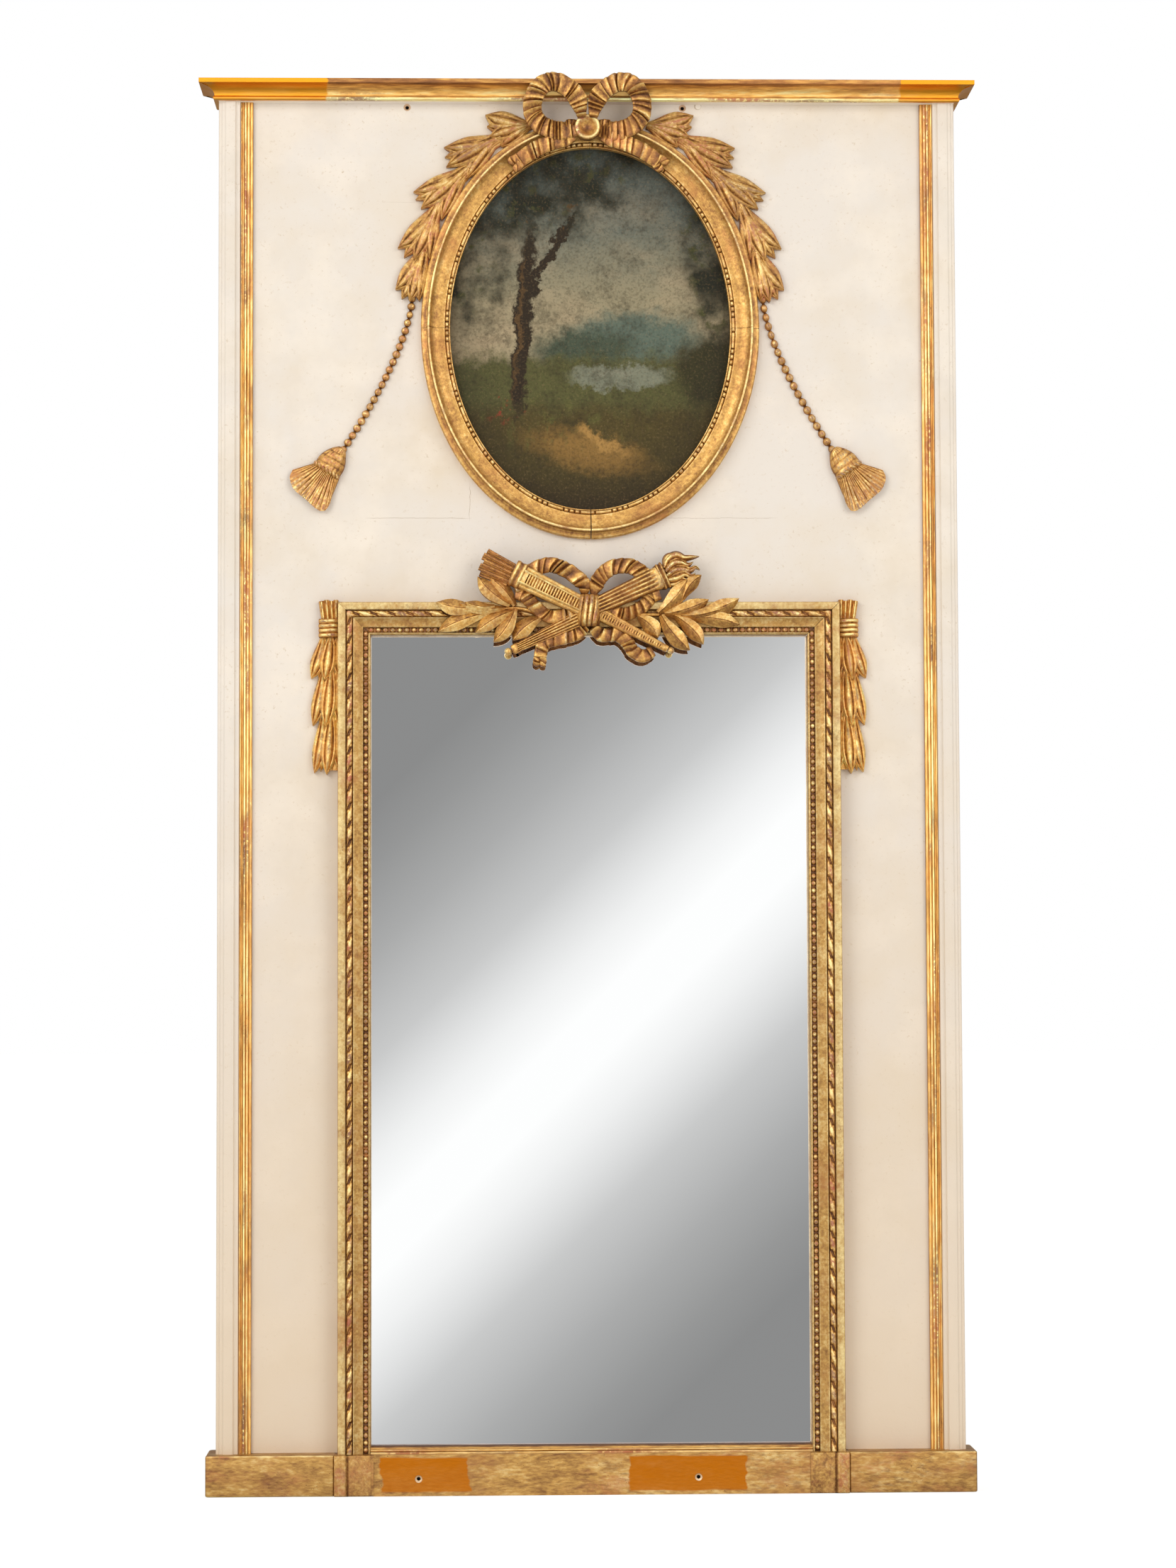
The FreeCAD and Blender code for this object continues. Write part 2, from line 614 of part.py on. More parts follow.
def ring_quarter(start, end):
    """A curved section of the oval moulding: ruled surfaces between ellipses, closed by two ends."""
    arcs = [oval_arc(across, rise, start, end) for across, rise in ring_outline()]
    faces = [Part.makeRuledSurface(near, far) for near, far in zip(arcs, arcs[1:] + arcs[:1])]
    for place in (0, -1):
        corners = [arc.Vertexes[place].Point for arc in arcs]
        faces.append(Part.Face(Part.makePolygon(corners + corners[:1])))
    shell = Part.makeShell(faces)
    shell.sewShape()
    return as_solid(Part.makeSolid(shell))


def make_oval():
    """Four curved sections that meet at 12, 3, 6 and 9 o'clock, the canvas and its strainer."""
    for turn, quarter in enumerate(("upper_right", "lower_right", "lower_left", "upper_left")):
        start = turn * math.pi / 2
        add_node(f"oval_frame_{quarter}", [ring_quarter(start, start + math.pi / 2)])
    behind = "carcase_depth - canvas_sink - canvas_thick"
    canvas = new_body("oval_canvas", behind)
    sketch = new_sketch(canvas, "XZ_Plane")
    margin_wide = "sight_half_width + canvas_margin"
    margin_tall = "sight_half_height + canvas_margin"
    draw_ellipse(sketch, margin_wide, margin_tall)
    add_pad(canvas, sketch, "canvas_thick")
    strainer = new_body("oval_strainer", "carcase_depth - board_thick")
    sketch = new_sketch(strainer, "XZ_Plane")
    draw_ellipse(sketch, margin_wide, margin_tall)
    add_pad(strainer, sketch, "board_thick - canvas_sink - canvas_thick")
    opening = new_sketch(strainer, "XZ_Plane")
    draw_ellipse(opening, f"{margin_wide} - strainer_width", f"{margin_tall} - strainer_width")
    cut_through(strainer, opening)


def as_solid(shape):
    """The shape as a solid that points outwards."""
    solid = shape if shape.ShapeType == "Solid" else Part.makeSolid(shape)
    if solid.Volume < 0:
        solid.reverse()
    return solid


# Carved strips -------------------------------------------------------------------------------

NEAR = 0.01
FLAT = 1e-6
RIBBON = ((-1, 0), (-0.75, 0.9), (0.75, 0.9), (1, 0))
LEAF = ((-1, 0), (0, 1), (1, 0))
ROUND = ((-1, 0), (-0.85, 0.62), (0, 1), (0.85, 0.62), (1, 0))
WRAPS = ((-1, 0), (-0.92, 0.66), (-0.56, 0.92), (-0.5, 0.84), (-0.3, 0.99), (-0.06, 0.98), (0, 0.9), (0.06, 0.98),
         (0.3, 0.99), (0.5, 0.84), (0.56, 0.92), (0.92, 0.66), (1, 0))


def section(middle, across, high, outline):
    """The corners of a strip's section: its outline in shares of the half width and of the height."""
    return [middle + across * out + Vector(0, -high * up, 0) for out, up in outline]


def facet(corners):
    """One plane facet."""
    return Part.Face(Part.makePolygon(corners + corners[:1]))


def faceted(sections):
    """A solid of plane facets through sections that have as many corners each, with closed ends.

    Four corners that lie in one plane make one facet, and others make two triangles.
    """
    faces = [facet(sections[0]), facet(sections[-1])]
    for near, far in zip(sections, sections[1:]):
        for one, two, three, four in zip(near, near[1:] + near[:1], far[1:] + far[:1], far):
            normal = (two - one).cross(four - one).normalize()
            if abs((three - one).dot(normal)) < FLAT:
                faces.append(facet([one, two, three, four]))
            else:
                faces.append(facet([one, two, four]))
                faces.append(facet([two, three, four]))
    shell = Part.makeShell(faces)
    shell.sewShape()
    return as_solid(Part.makeSolid(shell))


def strip(path, width, height, stations, outline=RIBBON):
    """A carved strip on a flat back, through sections square to its path.

    path(t) is the middle of the back, and width(t) and height(t) give the section, for t from 0 to 1.
    """
    sections = []
    for step in range(stations + 1):
        along = step / stations
        ahead = path(min(along + NEAR, 1)) - path(max(along - NEAR, 0))
        across = Vector(-ahead.z, 0, ahead.x).normalize() * (width(along) / 2)
        sections.append(section(path(along), across, height(along), outline))
    return faceted(sections)


def blend(start, end, along):
    """A value part of the way from start to end."""
    return start + (end - start) * along


def curve(points):
    """A smooth path through points, as a function of t."""
    spline = Part.BSplineCurve()
    spline.interpolate(points)
    first = spline.FirstParameter
    last = spline.LastParameter
    return lambda along: spline.value(blend(first, last, along))


LEAF_STATIONS = ((0, 0.4), (0.33, 1), (0.68, 0.76), (1, 0.07))


def leaf(base, tip, wide, high, bend=0):
    """A pointed leaf with a midrib, through similar sections that stay parallel.

    bend moves its middle to the side. Similar parallel sections give plane facets, as a gouge cuts them.
    """
    run = tip - base
    side = Vector(-run.z, 0, run.x).normalize()
    sections = []
    for along, share in LEAF_STATIONS:
        middle = base + run * along + side * (bend * 4 * along * (1 - along))
        sections.append(section(middle, side * (wide / 2 * share), high * share, LEAF))
    return faceted(sections)


def carve(name, pieces, under=()):
    """One carved node: its pieces fused, less what lies over them."""
    solid = pieces[0].multiFuse(pieces[1:]) if len(pieces) > 1 else pieces[0]
    for other in under:
        solid = solid.cut(other)
    return add_node(name, solid.removeSplitter().Solids)


def polar(degrees, length):
    """A step in the plane of the face."""
    angle = math.radians(degrees)
    return Vector(math.cos(angle) * length, 0, math.sin(angle) * length)


def mirrored(shapes, middle):
    """The same solids on the other side of the line x = middle."""
    return [as_solid(shape.mirror(Vector(middle, 0, 0), Vector(1, 0, 0))) for shape in shapes]


def face_point(x, z, out="carcase_depth"):
    """A point of the painted face, or of a plane further out, at x and z."""
    return Vector(x, -size(out), z)


# Garlands ------------------------------------------------------------------------------------

CLUSTERS = 5
LEAVES = 4


def oval_point(degrees, share):
    """A point beside the oval, at an angle of the ellipse and a share of its outer size."""
    angle = math.radians(degrees)
    wide = size("sight_half_width + ring_width") * share
    tall = size("sight_half_height + ring_width") * share
    return Vector(size("oval_shift") + wide * math.cos(angle), -size("carcase_depth"),
                  size("oval_level") + tall * math.sin(angle))


def garland_leaves():
    """Five clusters of leaves that hang down the left of the oval, each a fan that turns downwards."""
    wide = size("leaf_width")
    high = size("leaf_height")
    pieces = []
    for cluster in range(CLUSTERS):
        base = oval_point(109.5 + 12.8 * cluster, 1.06 + 0.006 * cluster)
        reach = size("leaf_length") * (1 + 0.23 * math.sin(math.pi * cluster / (CLUSTERS - 1)))
        start = 173 + 16 * cluster
        end = 222 + 12 * cluster
        for number in range(LEAVES):
            share = number / (LEAVES - 1)
            tip = base + polar(blend(start, end, share), reach * (1 - 0.06 * share))
            pieces.append(leaf(base, tip, wide, high * (1 - 0.2 * abs(share - 0.5))))
    stem = strip(lambda t: oval_point(blend(106, 164, t), 1.05), lambda t: wide * 0.45, lambda t: high * 0.55, 6)
    return [stem] + pieces + [garland_cup(cluster) for cluster in range(1, CLUSTERS)]


def garland_cup(cluster):
    """The low cup that the leaves of a cluster spring from, along the garland's stem."""
    middle = 108 + 12.8 * cluster
    return strip(lambda t: oval_point(blend(middle - 3, middle + 3, t), 1.06 + 0.006 * cluster),
                 lambda t: size("leaf_width") * (0.72 + 0.48 * math.sin(math.pi * t)),
                 lambda t: size("leaf_height") * 0.6, 2, ROUND)


def make_garlands():
    """The carved leaf garlands, left and right."""
    left = carve("leaf_garland_left", garland_leaves())
    carve("leaf_garland_right", mirrored(left.Shape.Solids, size("oval_shift")))


def string_path(along):
    """A string of beads that hangs from under the garland's foot and swings out as it drops."""
    out = size("string_swing") * (max(along - 0.04, 0) / 0.96) ** 1.457
    return oval_point(171.06, 1.0652) - Vector(out, 0, size("string_drop") * along)


def bead_strip():
    """Beads in one carved strip: each swells from a narrow neck to its full size."""
    count = int(size("bead_count"))
    bead = size("bead_size")

    def swell(along):
        return 0.35 + 0.65 * abs(math.sin(math.pi * count * along))

    return strip(string_path, lambda t: bead * swell(t), lambda t: bead * 0.8 * swell(t), 3 * count)


def tassel_solid():
    """A tassel that hangs askew at the foot of its string: a cap, a collar and a fanned skirt."""
    long = size("tassel_length")
    wide = size("tassel_width")
    relief = size("tassel_relief")
    top = string_path(1)
    places = ((0.015, 0.027), (-0.072, -0.107), (-0.259, -0.373), (-0.419, -0.56), (-0.592, -0.773))
    path = curve([top + Vector(x, 0, z) * long for x, z in places])

    def width(along):
        cap = math.sin(math.pi / 2 * min(along / 0.3, 1)) ** 0.7
        collar = 0.18 * math.exp(-((along - 0.42) / 0.06) ** 2)
        skirt = max(along - 0.45, 0) / 0.55
        return wide * max(cap + collar + skirt, 0.2)

    def height(along):
        return relief * (0.38 + 0.62 * math.sin(math.pi * (0.15 + 0.65 * along)))

    return strip(path, width, height, 12, ROUND)


def make_drops():
    """The hanging drops: a string of beads that ends in its tassel."""
    left = carve("tassel_drop_left", [bead_strip(), tassel_solid()])
    carve("tassel_drop_right", mirrored(left.Shape.Solids, 0))


# Bow -----------------------------------------------------------------------------------------

def pleat(along, count):
    """The share of its full relief that a pleated ribbon has at a place along it."""
    return 0.82 + 0.18 * math.cos(2 * math.pi * count * along)


def bow_back(level):
    """How far out the bow's back lies: on the cornice at the top and on the oval frame below."""
    low = size("carcase_depth + ring_reach")
    high = size("carcase_depth + edge_reach + cornice_reach")
    share = min(max((level - size("bow_level")) / size("cornice_low - bow_level"), 0), 1)
    return -blend(low, high, share)


def bow_point(x, z):
    """A point over the oval frame, in shares of the bow's half width from its button."""
    half = size("bow_half")
    return Vector(x * half, -size("carcase_depth + ring_reach"), size("bow_level") + z * half)


def loop_path(along):
    """The left loop of the bow: an ellipse that leaves the button and comes back to it."""
    angle = math.radians(blend(-22, 318, along))
    place = bow_point(-0.429 + 0.337 * math.cos(angle), 0.268 + 0.337 * math.sin(angle))
    return Vector(place.x, bow_back(place.z), place.z)


def make_bow():
    """Two pleated loops, two tails that lie on the oval frame, and the dished button over them."""
    button = button_solid()
    wide = size("ribbon_width")
    high = size("ribbon_height")
    loop = strip(loop_path, lambda t: wide * (0.62 + 0.38 * abs(math.sin(math.pi * t)) ** 0.5),
                 lambda t: high * pleat(t, 14), 28)
    places = ((-0.184, -0.089), (-0.459, -0.13), (-0.765, -0.253), (-1, -0.446))
    tail_path = curve([bow_point(x, z) for x, z in places])
    tail = strip(tail_path, lambda t: wide * (0.8 + 0.2 * t), lambda t: high * 0.8 * pleat(t, 4), 8)
    loop = loop.cut(button)
    tail = tail.cut(button).cut(loop)
    carve("bow_loop_left", [loop])
    carve("bow_loop_right", mirrored([loop], 0))
    add_node("bow_tails", tail.Solids + mirrored(tail.Solids, 0))
    add_node("bow_button", [button])


def button_solid():
    """A turned button with a raised rim and a dish, on the crown of the oval frame."""
    radius = size("button_size / 2")
    deep = size("button_relief")
    profile = ((0, 0), (radius, 0), (radius, deep * 0.7), (radius * 0.85, deep), (radius * 0.68, deep),
               (radius * 0.3, deep * 0.72), (0, deep * 0.66))
    wire = Part.makePolygon([Vector(x, -y, 0) for x, y in profile + profile[:1]])
    turned = Part.Face(wire).revolve(Vector(0, 0, 0), Vector(0, 1, 0), 360)
    turned.translate(bow_point(-0.005, 0))
    return as_solid(turned)


# Trophy --------------------------------------------------------------------------------------

def on_frame(x, z):
    """A point of the mirror frame's front plane, in shares of the trophy's half width from its knot."""
    half = size("trophy_half")
    return face_point(x * half, size("trophy_level") + z * half, "carcase_depth + frame_reach")


def shaft(start, end, mouth, stations):
    """A half-round shaft from its mouth to its foot, through (share of the way, share of the mouth's width)."""
    high = size("shaft_height")
    run = end - start
    half = Vector(-run.z, 0, run.x).normalize() * (mouth / 2)
    return faceted([section(start + run * along, half * share, high * share, ROUND)
                    for along, share in stations])


QUIVER_STATIONS = ((0, 1), (0.06, 0.98), (0.065, 0.86), (0.45, 0.7), (0.52, 0.54), (0.95, 0.3), (0.955, 0.36),
                   (1, 0.36))
TORCH_STATIONS = ((0, 1), (0.025, 1), (0.03, 0.9), (0.045, 0.98), (0.07, 0.86), (0.44, 0.62), (0.52, 0.54),
                  (0.95, 0.32), (0.955, 0.38), (1, 0.38))


def finial(centre, radius):
    """A small turned ball with three flats from pole to pole."""
    outline = [(radius * math.sin(math.radians(angle)), -radius * math.cos(math.radians(angle)))
               for angle in (0, 60, 120, 180)]
    wire = Part.makePolygon([Vector(x, y, 0) for x, y in outline + outline[:1]])
    turned = as_solid(Part.Face(wire).revolve(Vector(0, 0, 0), Vector(0, 1, 0), 360))
    turned.translate(centre)
    return turned


def make_trophy():
    """A quiver of arrows crossed with a lit torch, tied with ribbon over two laurel sprays."""
    ball = size("shaft_height") * 0.27
    lift = Vector(0, -ball, 0)
    quiver = shaft(on_frame(-0.499, 0.235), on_frame(0.547, -0.257), size("quiver_mouth"), QUIVER_STATIONS)
    quiver = quiver.fuse(finial(on_frame(0.561, -0.263) + lift, ball))
    torch = shaft(on_frame(0.512, 0.23), on_frame(-0.522, -0.258), size("torch_mouth"), TORCH_STATIONS)
    torch = torch.fuse(finial(on_frame(-0.535, -0.27) + lift, ball))
    knot = knot_solid().cut(quiver).cut(torch)
    torch = torch.cut(quiver)
    carve("trophy_quiver", [quiver])
    carve("trophy_arrows", arrow_feathers(), [quiver])
    carve("trophy_torch", [torch])
    carve("trophy_flame", torch_flames(), [torch])
    carve("trophy_knot", [knot])
    over = [quiver, torch, knot]
    ribbons = trophy_ribbons()
    carve("trophy_ribbons", ribbons, over)
    over += ribbons
    for (side, sign), pieces in zip(SIDES, laurel_sprays()):
        carve(f"laurel_{side}", pieces, over)


def arrow_feathers():
    """Flights of arrows side by side above the quiver's collar."""
    wide = size("arrow_width")
    pieces = []
    for share in (0, 0.25, 0.5, 0.75, 1):
        start = on_frame(blend(-0.465, -0.522, share), blend(0.307, 0.174, share))
        end = on_frame(blend(-0.67, -0.721, share), blend(0.379, 0.256, share))
        run = end - start
        pieces.append(strip(lambda t, a=start, r=run: a + r * t, lambda t: wide, lambda t: wide * 0.95, 1, LEAF))
    return pieces


def torch_flames():
    """Tongues of flame that blow to the right from the torch's cup, as the places and bends of their tips."""
    wide = size("flame_width")
    root = on_frame(0.527, 0.246)
    tips = ((0.731, 0.373, 0.3), (0.711, 0.307, 0.24), (0.614, 0.384, -0.24), (0.655, 0.225, 0.35))
    return [leaf(root, on_frame(x, z), wide, wide * 0.9, wide * bend) for x, z, bend in tips]


def knot_solid():
    """The ribbon's knot: a barrel of four wraps around the crossing."""
    wide = size("knot_width")
    tall = size("knot_height")
    high = size("knot_relief")
    top = on_frame(-0.005, 0) + Vector(0, 0, tall / 2)

    def swell(along):
        return 0.9 + 0.1 * abs(math.sin(math.pi * along))

    return strip(lambda t: top - Vector(0, 0, tall * t), lambda t: wide * swell(t),
                 lambda t: high * swell(t), 6, WRAPS)


def trophy_ribbons():
    """On each side a pleated loop behind the shaft, and a ribbon end over the glass."""
    wide = size("trophy_ribbon")
    high = size("ribbon_height")
    bands = []
    ends = (((-0.061, -0.082), (-0.174, -0.174), (-0.286, -0.179), (-0.338, -0.256), (-0.327, -0.358)),
            ((0.051, -0.092), (0.153, -0.179), (0.256, -0.194), (0.317, -0.297), (0.43, -0.307)))
    for (side, sign), points in zip(SIDES, ends):
        def loop(along, sign=sign):
            angle = math.radians(blend(-10, 330, along))
            return on_frame(sign * (0.24 - 0.174 * math.cos(angle)), 0.143 + 0.153 * math.sin(angle))

        bands.append(strip(loop, lambda t: wide, lambda t: high * pleat(t, 10), 20))
        path = curve([on_frame(x, z) for x, z in points])
        bands.append(strip(path, lambda t: wide * (0.7 + 0.3 * t), lambda t: high * 0.8 * pleat(t, 4), 8))
    return bands


def laurel_sprays():
    """Laurel leaves on each side, as an angle and how far the tip lies from the spray's base.

    A leaf that starts away from the base has its own stem, and one more leaf hangs beside the knot.
    """
    long = size("laurel_length")
    wide = size("laurel_width")
    high = size("leaf_height")
    left = ((144, 0.97), (163, 1.03), (176, 1.59), (196, 1.62), (210, 0.96), (233, 0.82))
    right = ((40, 1.12), (56, 0.91), (14, 1.03), (11, 1.51), (-12, 1.59), (-34, 1.07), (-48, 0.94))
    bases = (on_frame(-0.46, 0.026), on_frame(0.45, -0.005))
    inner = ((on_frame(-0.307, -0.051), on_frame(-0.491, -0.189)),
             (on_frame(0.286, -0.051), on_frame(0.43, -0.184)))
    groups = []
    for base, leaves, hanging in zip(bases, (left, right), inner):
        pieces = [leaf(*hanging, wide, high * 0.9)]
        for degrees, reach in leaves:
            root = max(reach - 1, 0)
            pieces.append(leaf(base + polar(degrees, root * long), base + polar(degrees, reach * long), wide, high))
            if root > 0.3:
                far = polar(degrees, (root + 0.18) * long)
                pieces.append(strip(lambda t, a=base, r=far: a + r * t, lambda t: wide * 0.32,
                                    lambda t: high * 0.55, 1))
        groups.append(pieces)
    return groups


# Side pendants -------------------------------------------------------------------------------

TIERS = 3


def make_pendants():
    """Bundles of husks in three tiers that hang beside the mirror frame, half behind its edge."""
    edge = size("frame_half")
    top = size("frame_top")
    long = size("husk_length")
    high = size("husk_reach")
    wide = size("husk_width")

    def place(across, level):
        return face_point(-edge - across * wide, top + level * long)

    pieces = [leaf(place(0.12 + 0.44 * number, -0.44), place(0.25 + 0.44 * number, 0.063), wide * 0.56, high * 0.7)
              for number in range(3)]
    pieces.append(strip(lambda t: place(0.56, -0.33 - 0.38 * t), lambda t: wide * 1.8, lambda t: high, 1, ROUND))
    for tier in range(TIERS):
        start = -0.667 - tier * size("husk_pitch / husk_length")
        for root, tip, short in ((0.75, 2.3, 0.05), (0.56, 1.12, 0), (0.25, -0.12, 0.03)):
            pieces.append(leaf(place(root, start), place(tip, start - 1 + short), wide, high, wide * 0.19))
    behind = Part.makeBox(edge * 2, size("carcase_depth") * 4, size("carcase_top"),
                          Vector(-edge, -size("carcase_depth") * 4, 0))
    left = carve("husk_pendant_left", pieces, [behind])
    carve("husk_pendant_right", mirrored(left.Shape.Solids, 0))


def finish():
    """Checks every object of the document and writes each node's solid."""
    doc.recompute()
    for item in doc.Objects:
        if "Invalid" in item.State or "Error" in item.State:
            raise ValueError(f"{item.Label}: {item.State}")
    os.makedirs("parts", exist_ok=True)
    for node in nodes:
        shape = node.Shape
        if shape.isNull() or not shape.isValid() or not shape.Solids:
            raise ValueError(f"{node.Label}: not a valid solid")
        shape.exportStep(f"parts/{node.Label}.step")
    print(len(nodes), "nodes")


make_carcase()
make_field()
make_edges()
make_cornice()
make_plinth()
make_mirror()
make_cleats()
make_oval()
make_garlands()
make_drops()
make_bow()
make_trophy()
make_pendants()
finish()
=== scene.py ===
"""Trumeau mirror: the finishes and the carved, gilded ornament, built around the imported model.

It is laid out as an add-on with one operator for each group of pieces. Shapes are computed in millimetres,
in the model's own frame: +Z is up, +X is the viewer's right, and the front faces -Y. put() turns them into
metres.
"""

import math

import bpy
import numpy as np
from bpy.props import FloatProperty, FloatVectorProperty, IntProperty, PointerProperty
from mathutils import Matrix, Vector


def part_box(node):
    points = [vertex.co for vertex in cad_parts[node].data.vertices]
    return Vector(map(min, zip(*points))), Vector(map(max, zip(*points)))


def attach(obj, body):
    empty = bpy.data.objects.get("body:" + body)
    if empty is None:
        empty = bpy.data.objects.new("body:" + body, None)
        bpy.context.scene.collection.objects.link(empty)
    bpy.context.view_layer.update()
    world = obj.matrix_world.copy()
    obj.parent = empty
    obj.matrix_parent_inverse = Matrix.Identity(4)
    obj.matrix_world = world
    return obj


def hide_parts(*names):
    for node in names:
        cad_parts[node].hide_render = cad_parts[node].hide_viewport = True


bl_info = {
    "name": "Trumeau mirror",
    "version": (1, 0, 0),
    "blender": (4, 5, 0),
    "location": "3D View > Sidebar > Trumeau",
    "description": "Dresses the model of a painted and gilded trumeau mirror",
    "category": "Add Mesh",
}

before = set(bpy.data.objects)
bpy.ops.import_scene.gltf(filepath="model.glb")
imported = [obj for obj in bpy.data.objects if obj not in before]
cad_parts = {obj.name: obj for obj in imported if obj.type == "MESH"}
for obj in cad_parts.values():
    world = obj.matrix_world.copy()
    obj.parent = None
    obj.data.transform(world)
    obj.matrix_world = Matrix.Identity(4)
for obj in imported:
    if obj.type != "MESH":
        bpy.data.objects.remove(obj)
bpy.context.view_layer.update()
SIDES = (("left", -1), ("right", 1))
OUT = np.array((0.0, -1.0, 0.0))

# How far the painted face, and the seat of the trophy over the mirror frame, stand out from the wall.
FACE = 36.0
TROPHY_SEAT = 60.0
# Wall screws' holes, as (x, z): two through the upper panel and two through the plinth.
SCREWS = {"top": ((-234.7, 1790.5), (124.6, 1790.5)), "base": ((-220.6, 21.5), (135.2, 21.5))}


def linear(hex_colour):
    """An sRGB hex colour as linear red, green, blue and alpha, by the sRGB curve."""
    parts = (int(hex_colour[place:place + 2], 16) / 255 for place in (1, 3, 5))
    return (*(part / 12.92 if part <= 0.04045 else ((part + 0.055) / 1.055) ** 2.4 for part in parts), 1.0)


def length(name, default, description):
    """A length in metres for the sidebar, from millimetres."""
    return FloatProperty(name=name, default=default / 1000, unit="LENGTH", description=description)


def colour(name, default, description):
    """A colour for the sidebar, from a hex value."""
    return FloatVectorProperty(name=name, default=linear(default)[:3], subtype="COLOR", min=0, max=1,
                               description=description)


class TrumeauSizes(bpy.types.PropertyGroup):
    """Sizes of the carved and moulded detail."""
    leaf_wide: length("Garland leaf", 24, "Width of a leaf of the garlands")
    leaf_high: length("Garland relief", 10, "How far a garland leaf stands out")
    bead: length("Bead", 9.4, "Bead of the hanging strings")
    ribbon: length("Bow ribbon", 24, "Width of the carved ribbon of the bow")
    ribbon_high: length("Bow relief", 9, "How far the bow's ribbon stands out")
    twist_pitch: length("Twist pitch", 23.9, "Length of one turn of the frame's ribbon")
    pearl_pitch: length("Pearl pitch", 9.2, "Spacing of the mirror frame's pearls")
    reel_pitch: length("Bead and reel", 43.5, "Three beads and a reel of the oval frame")
    laurel_wide: length("Laurel leaf", 21.5, "Width of a laurel leaf")
    pleats: IntProperty(name="Pleats", default=27, min=8, max=60,
                        description="Pleats round a loop of the bow")


class TrumeauColours(bpy.types.PropertyGroup):
    """Colours of the finishes."""
    cream: colour("Cream paint", "#EAE1D6", "Old oil paint of the boards")
    gold: colour("Gold", "#CC9C50", "Burnished leaf on flat and rounded parts")
    # Pale gold on the crests: the burnished leaf's own colour, made paler as a painted highlight.
    crest_gold_and_highlight: colour("Bright gold", "#FFE4A0", "Leaf on the highest parts")
    gold_deep: colour("Toned gold", "#85572A", "Leaf under brown size in the hollows")
    bole: colour("Bole", "#B0583C", "Red clay ground where the leaf is rubbed off")
    amber: colour("Amber varnish", "#A85E09", "Thick varnish of old repairs")
    pine: colour("Old pine", "#9A754C", "Bare boards of the back")


def size_of(name):
    """A size that the sidebar holds, in millimetres."""
    return getattr(bpy.context.scene.trumeau_sizes, name) * 1000


def colour_of(name):
    """A colour that the sidebar holds, with its alpha."""
    return (*getattr(bpy.context.scene.trumeau_colours, name), 1.0)


def low(node):
    """The lowest corner of a node in millimetres."""
    return np.array(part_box(node)[0]) * 1000


def high(node):
    """The highest corner of a node in millimetres."""
    return np.array(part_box(node)[1]) * 1000


# Meshes ---------------------------------------------------------------------------------------

def shell(points, heart=None):
    """Vertices and faces of one closed skin through a grid of sections.

    points[i, j] is corner j of section i. Each section is a closed loop, and a fan of triangles to its
    heart, or else its middle, closes each end. The faces are turned outwards by the sign of the volume.
    """
    heart = points.mean(axis=1) if heart is None else heart
    rows, columns = points.shape[:2]
    ids = np.arange(rows * columns).reshape(rows, columns)
    ahead = np.roll(ids, -1, axis=1)
    quads = np.stack((ids[:-1], ahead[:-1], ahead[1:], ids[1:]), axis=-1).reshape(-1, 4)
    first, last = rows * columns, rows * columns + 1
    near = np.stack((np.full(columns, first), ahead[0], ids[0]), axis=-1)
    far = np.stack((np.full(columns, last), ids[-1], ahead[-1]), axis=-1)
    fans = np.concatenate((near, far))
    vertices = np.concatenate((points.reshape(-1, 3), heart[[0, -1]]))
    corners = vertices[np.concatenate((quads[:, :3], quads[:, [0, 2, 3]], fans))]
    volume = np.einsum("ij,ij->i", corners[:, 0], np.cross(corners[:, 1], corners[:, 2])).sum()
    if volume < 0:
        quads = quads[:, ::-1]
        fans = fans[:, ::-1]
    return vertices, quads, fans


def put(name, skins, material, node, sharp=60):
    """An object in a node's place, from closed skins: each a grid of sections in millimetres and its relief.

    The relief is kept as an attribute for the finish: 0 in the hollows and 1 on the crests.
    """
    vertices, faces, reliefs = [], [], []
    start = 0
    for points, relief, *heart in skins:
        corners, quads, fans = shell(points, *heart)
        vertices.append(corners)
        faces += (quads + start).tolist() + (fans + start).tolist()
        level = np.broadcast_to(relief, points.shape[:2])
        reliefs.append(np.concatenate((level.reshape(-1), [level[0].mean(), level[-1].mean()])))
        start += len(corners)
    mesh = bpy.data.meshes.new(name)
    mesh.from_pydata(np.concatenate(vertices) / 1000, [], faces)
    mesh.attributes.new("relief", "FLOAT", "POINT").data.foreach_set("value", np.concatenate(reliefs))
    mesh.materials.append(material)
    mesh.shade_smooth()
    mesh.set_sharp_from_angle(angle=math.radians(sharp))
    mesh.update()
    piece = bpy.data.objects.new(name, mesh)
    bpy.context.scene.collection.objects.link(piece)
    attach(piece, "root")
    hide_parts(node)


def finish_node(node, material):
    """Gives a node of the frame its finish."""
    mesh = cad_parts[node].data
    mesh.materials.clear()
    mesh.materials.append(material)


# Paths and sections ---------------------------------------------------------------------------

def smooth_path(points, count):
    """A path of count stations, evenly spaced, on the cubic curve that passes through the points.

    Between two points the curve is the usual blend of its four neighbours, and the ends are mirrored.
    """
    points = np.asarray(points, float)
    ends = np.concatenate((2 * points[:1] - points[1:2], points, 2 * points[-1:] - points[-2:-1]))
    place = np.linspace(0, len(points) - 1, 400)
    step = np.minimum(place.astype(int), len(points) - 2)
    part = (place - step)[:, None]
    before, start, end, after = (ends[step + offset] for offset in range(4))
    dense = 0.5 * (2 * start + (end - before) * part
                   + (2 * before - 5 * start + 4 * end - after) * part ** 2
                   + (3 * start - before - 3 * end + after) * part ** 3)
    run = np.concatenate(([0], np.cumsum(np.linalg.norm(np.diff(dense, axis=0), axis=1))))
    even = np.linspace(0, run[-1], count)
    return np.stack([np.interp(even, run, dense[:, axis]) for axis in range(3)], axis=1)


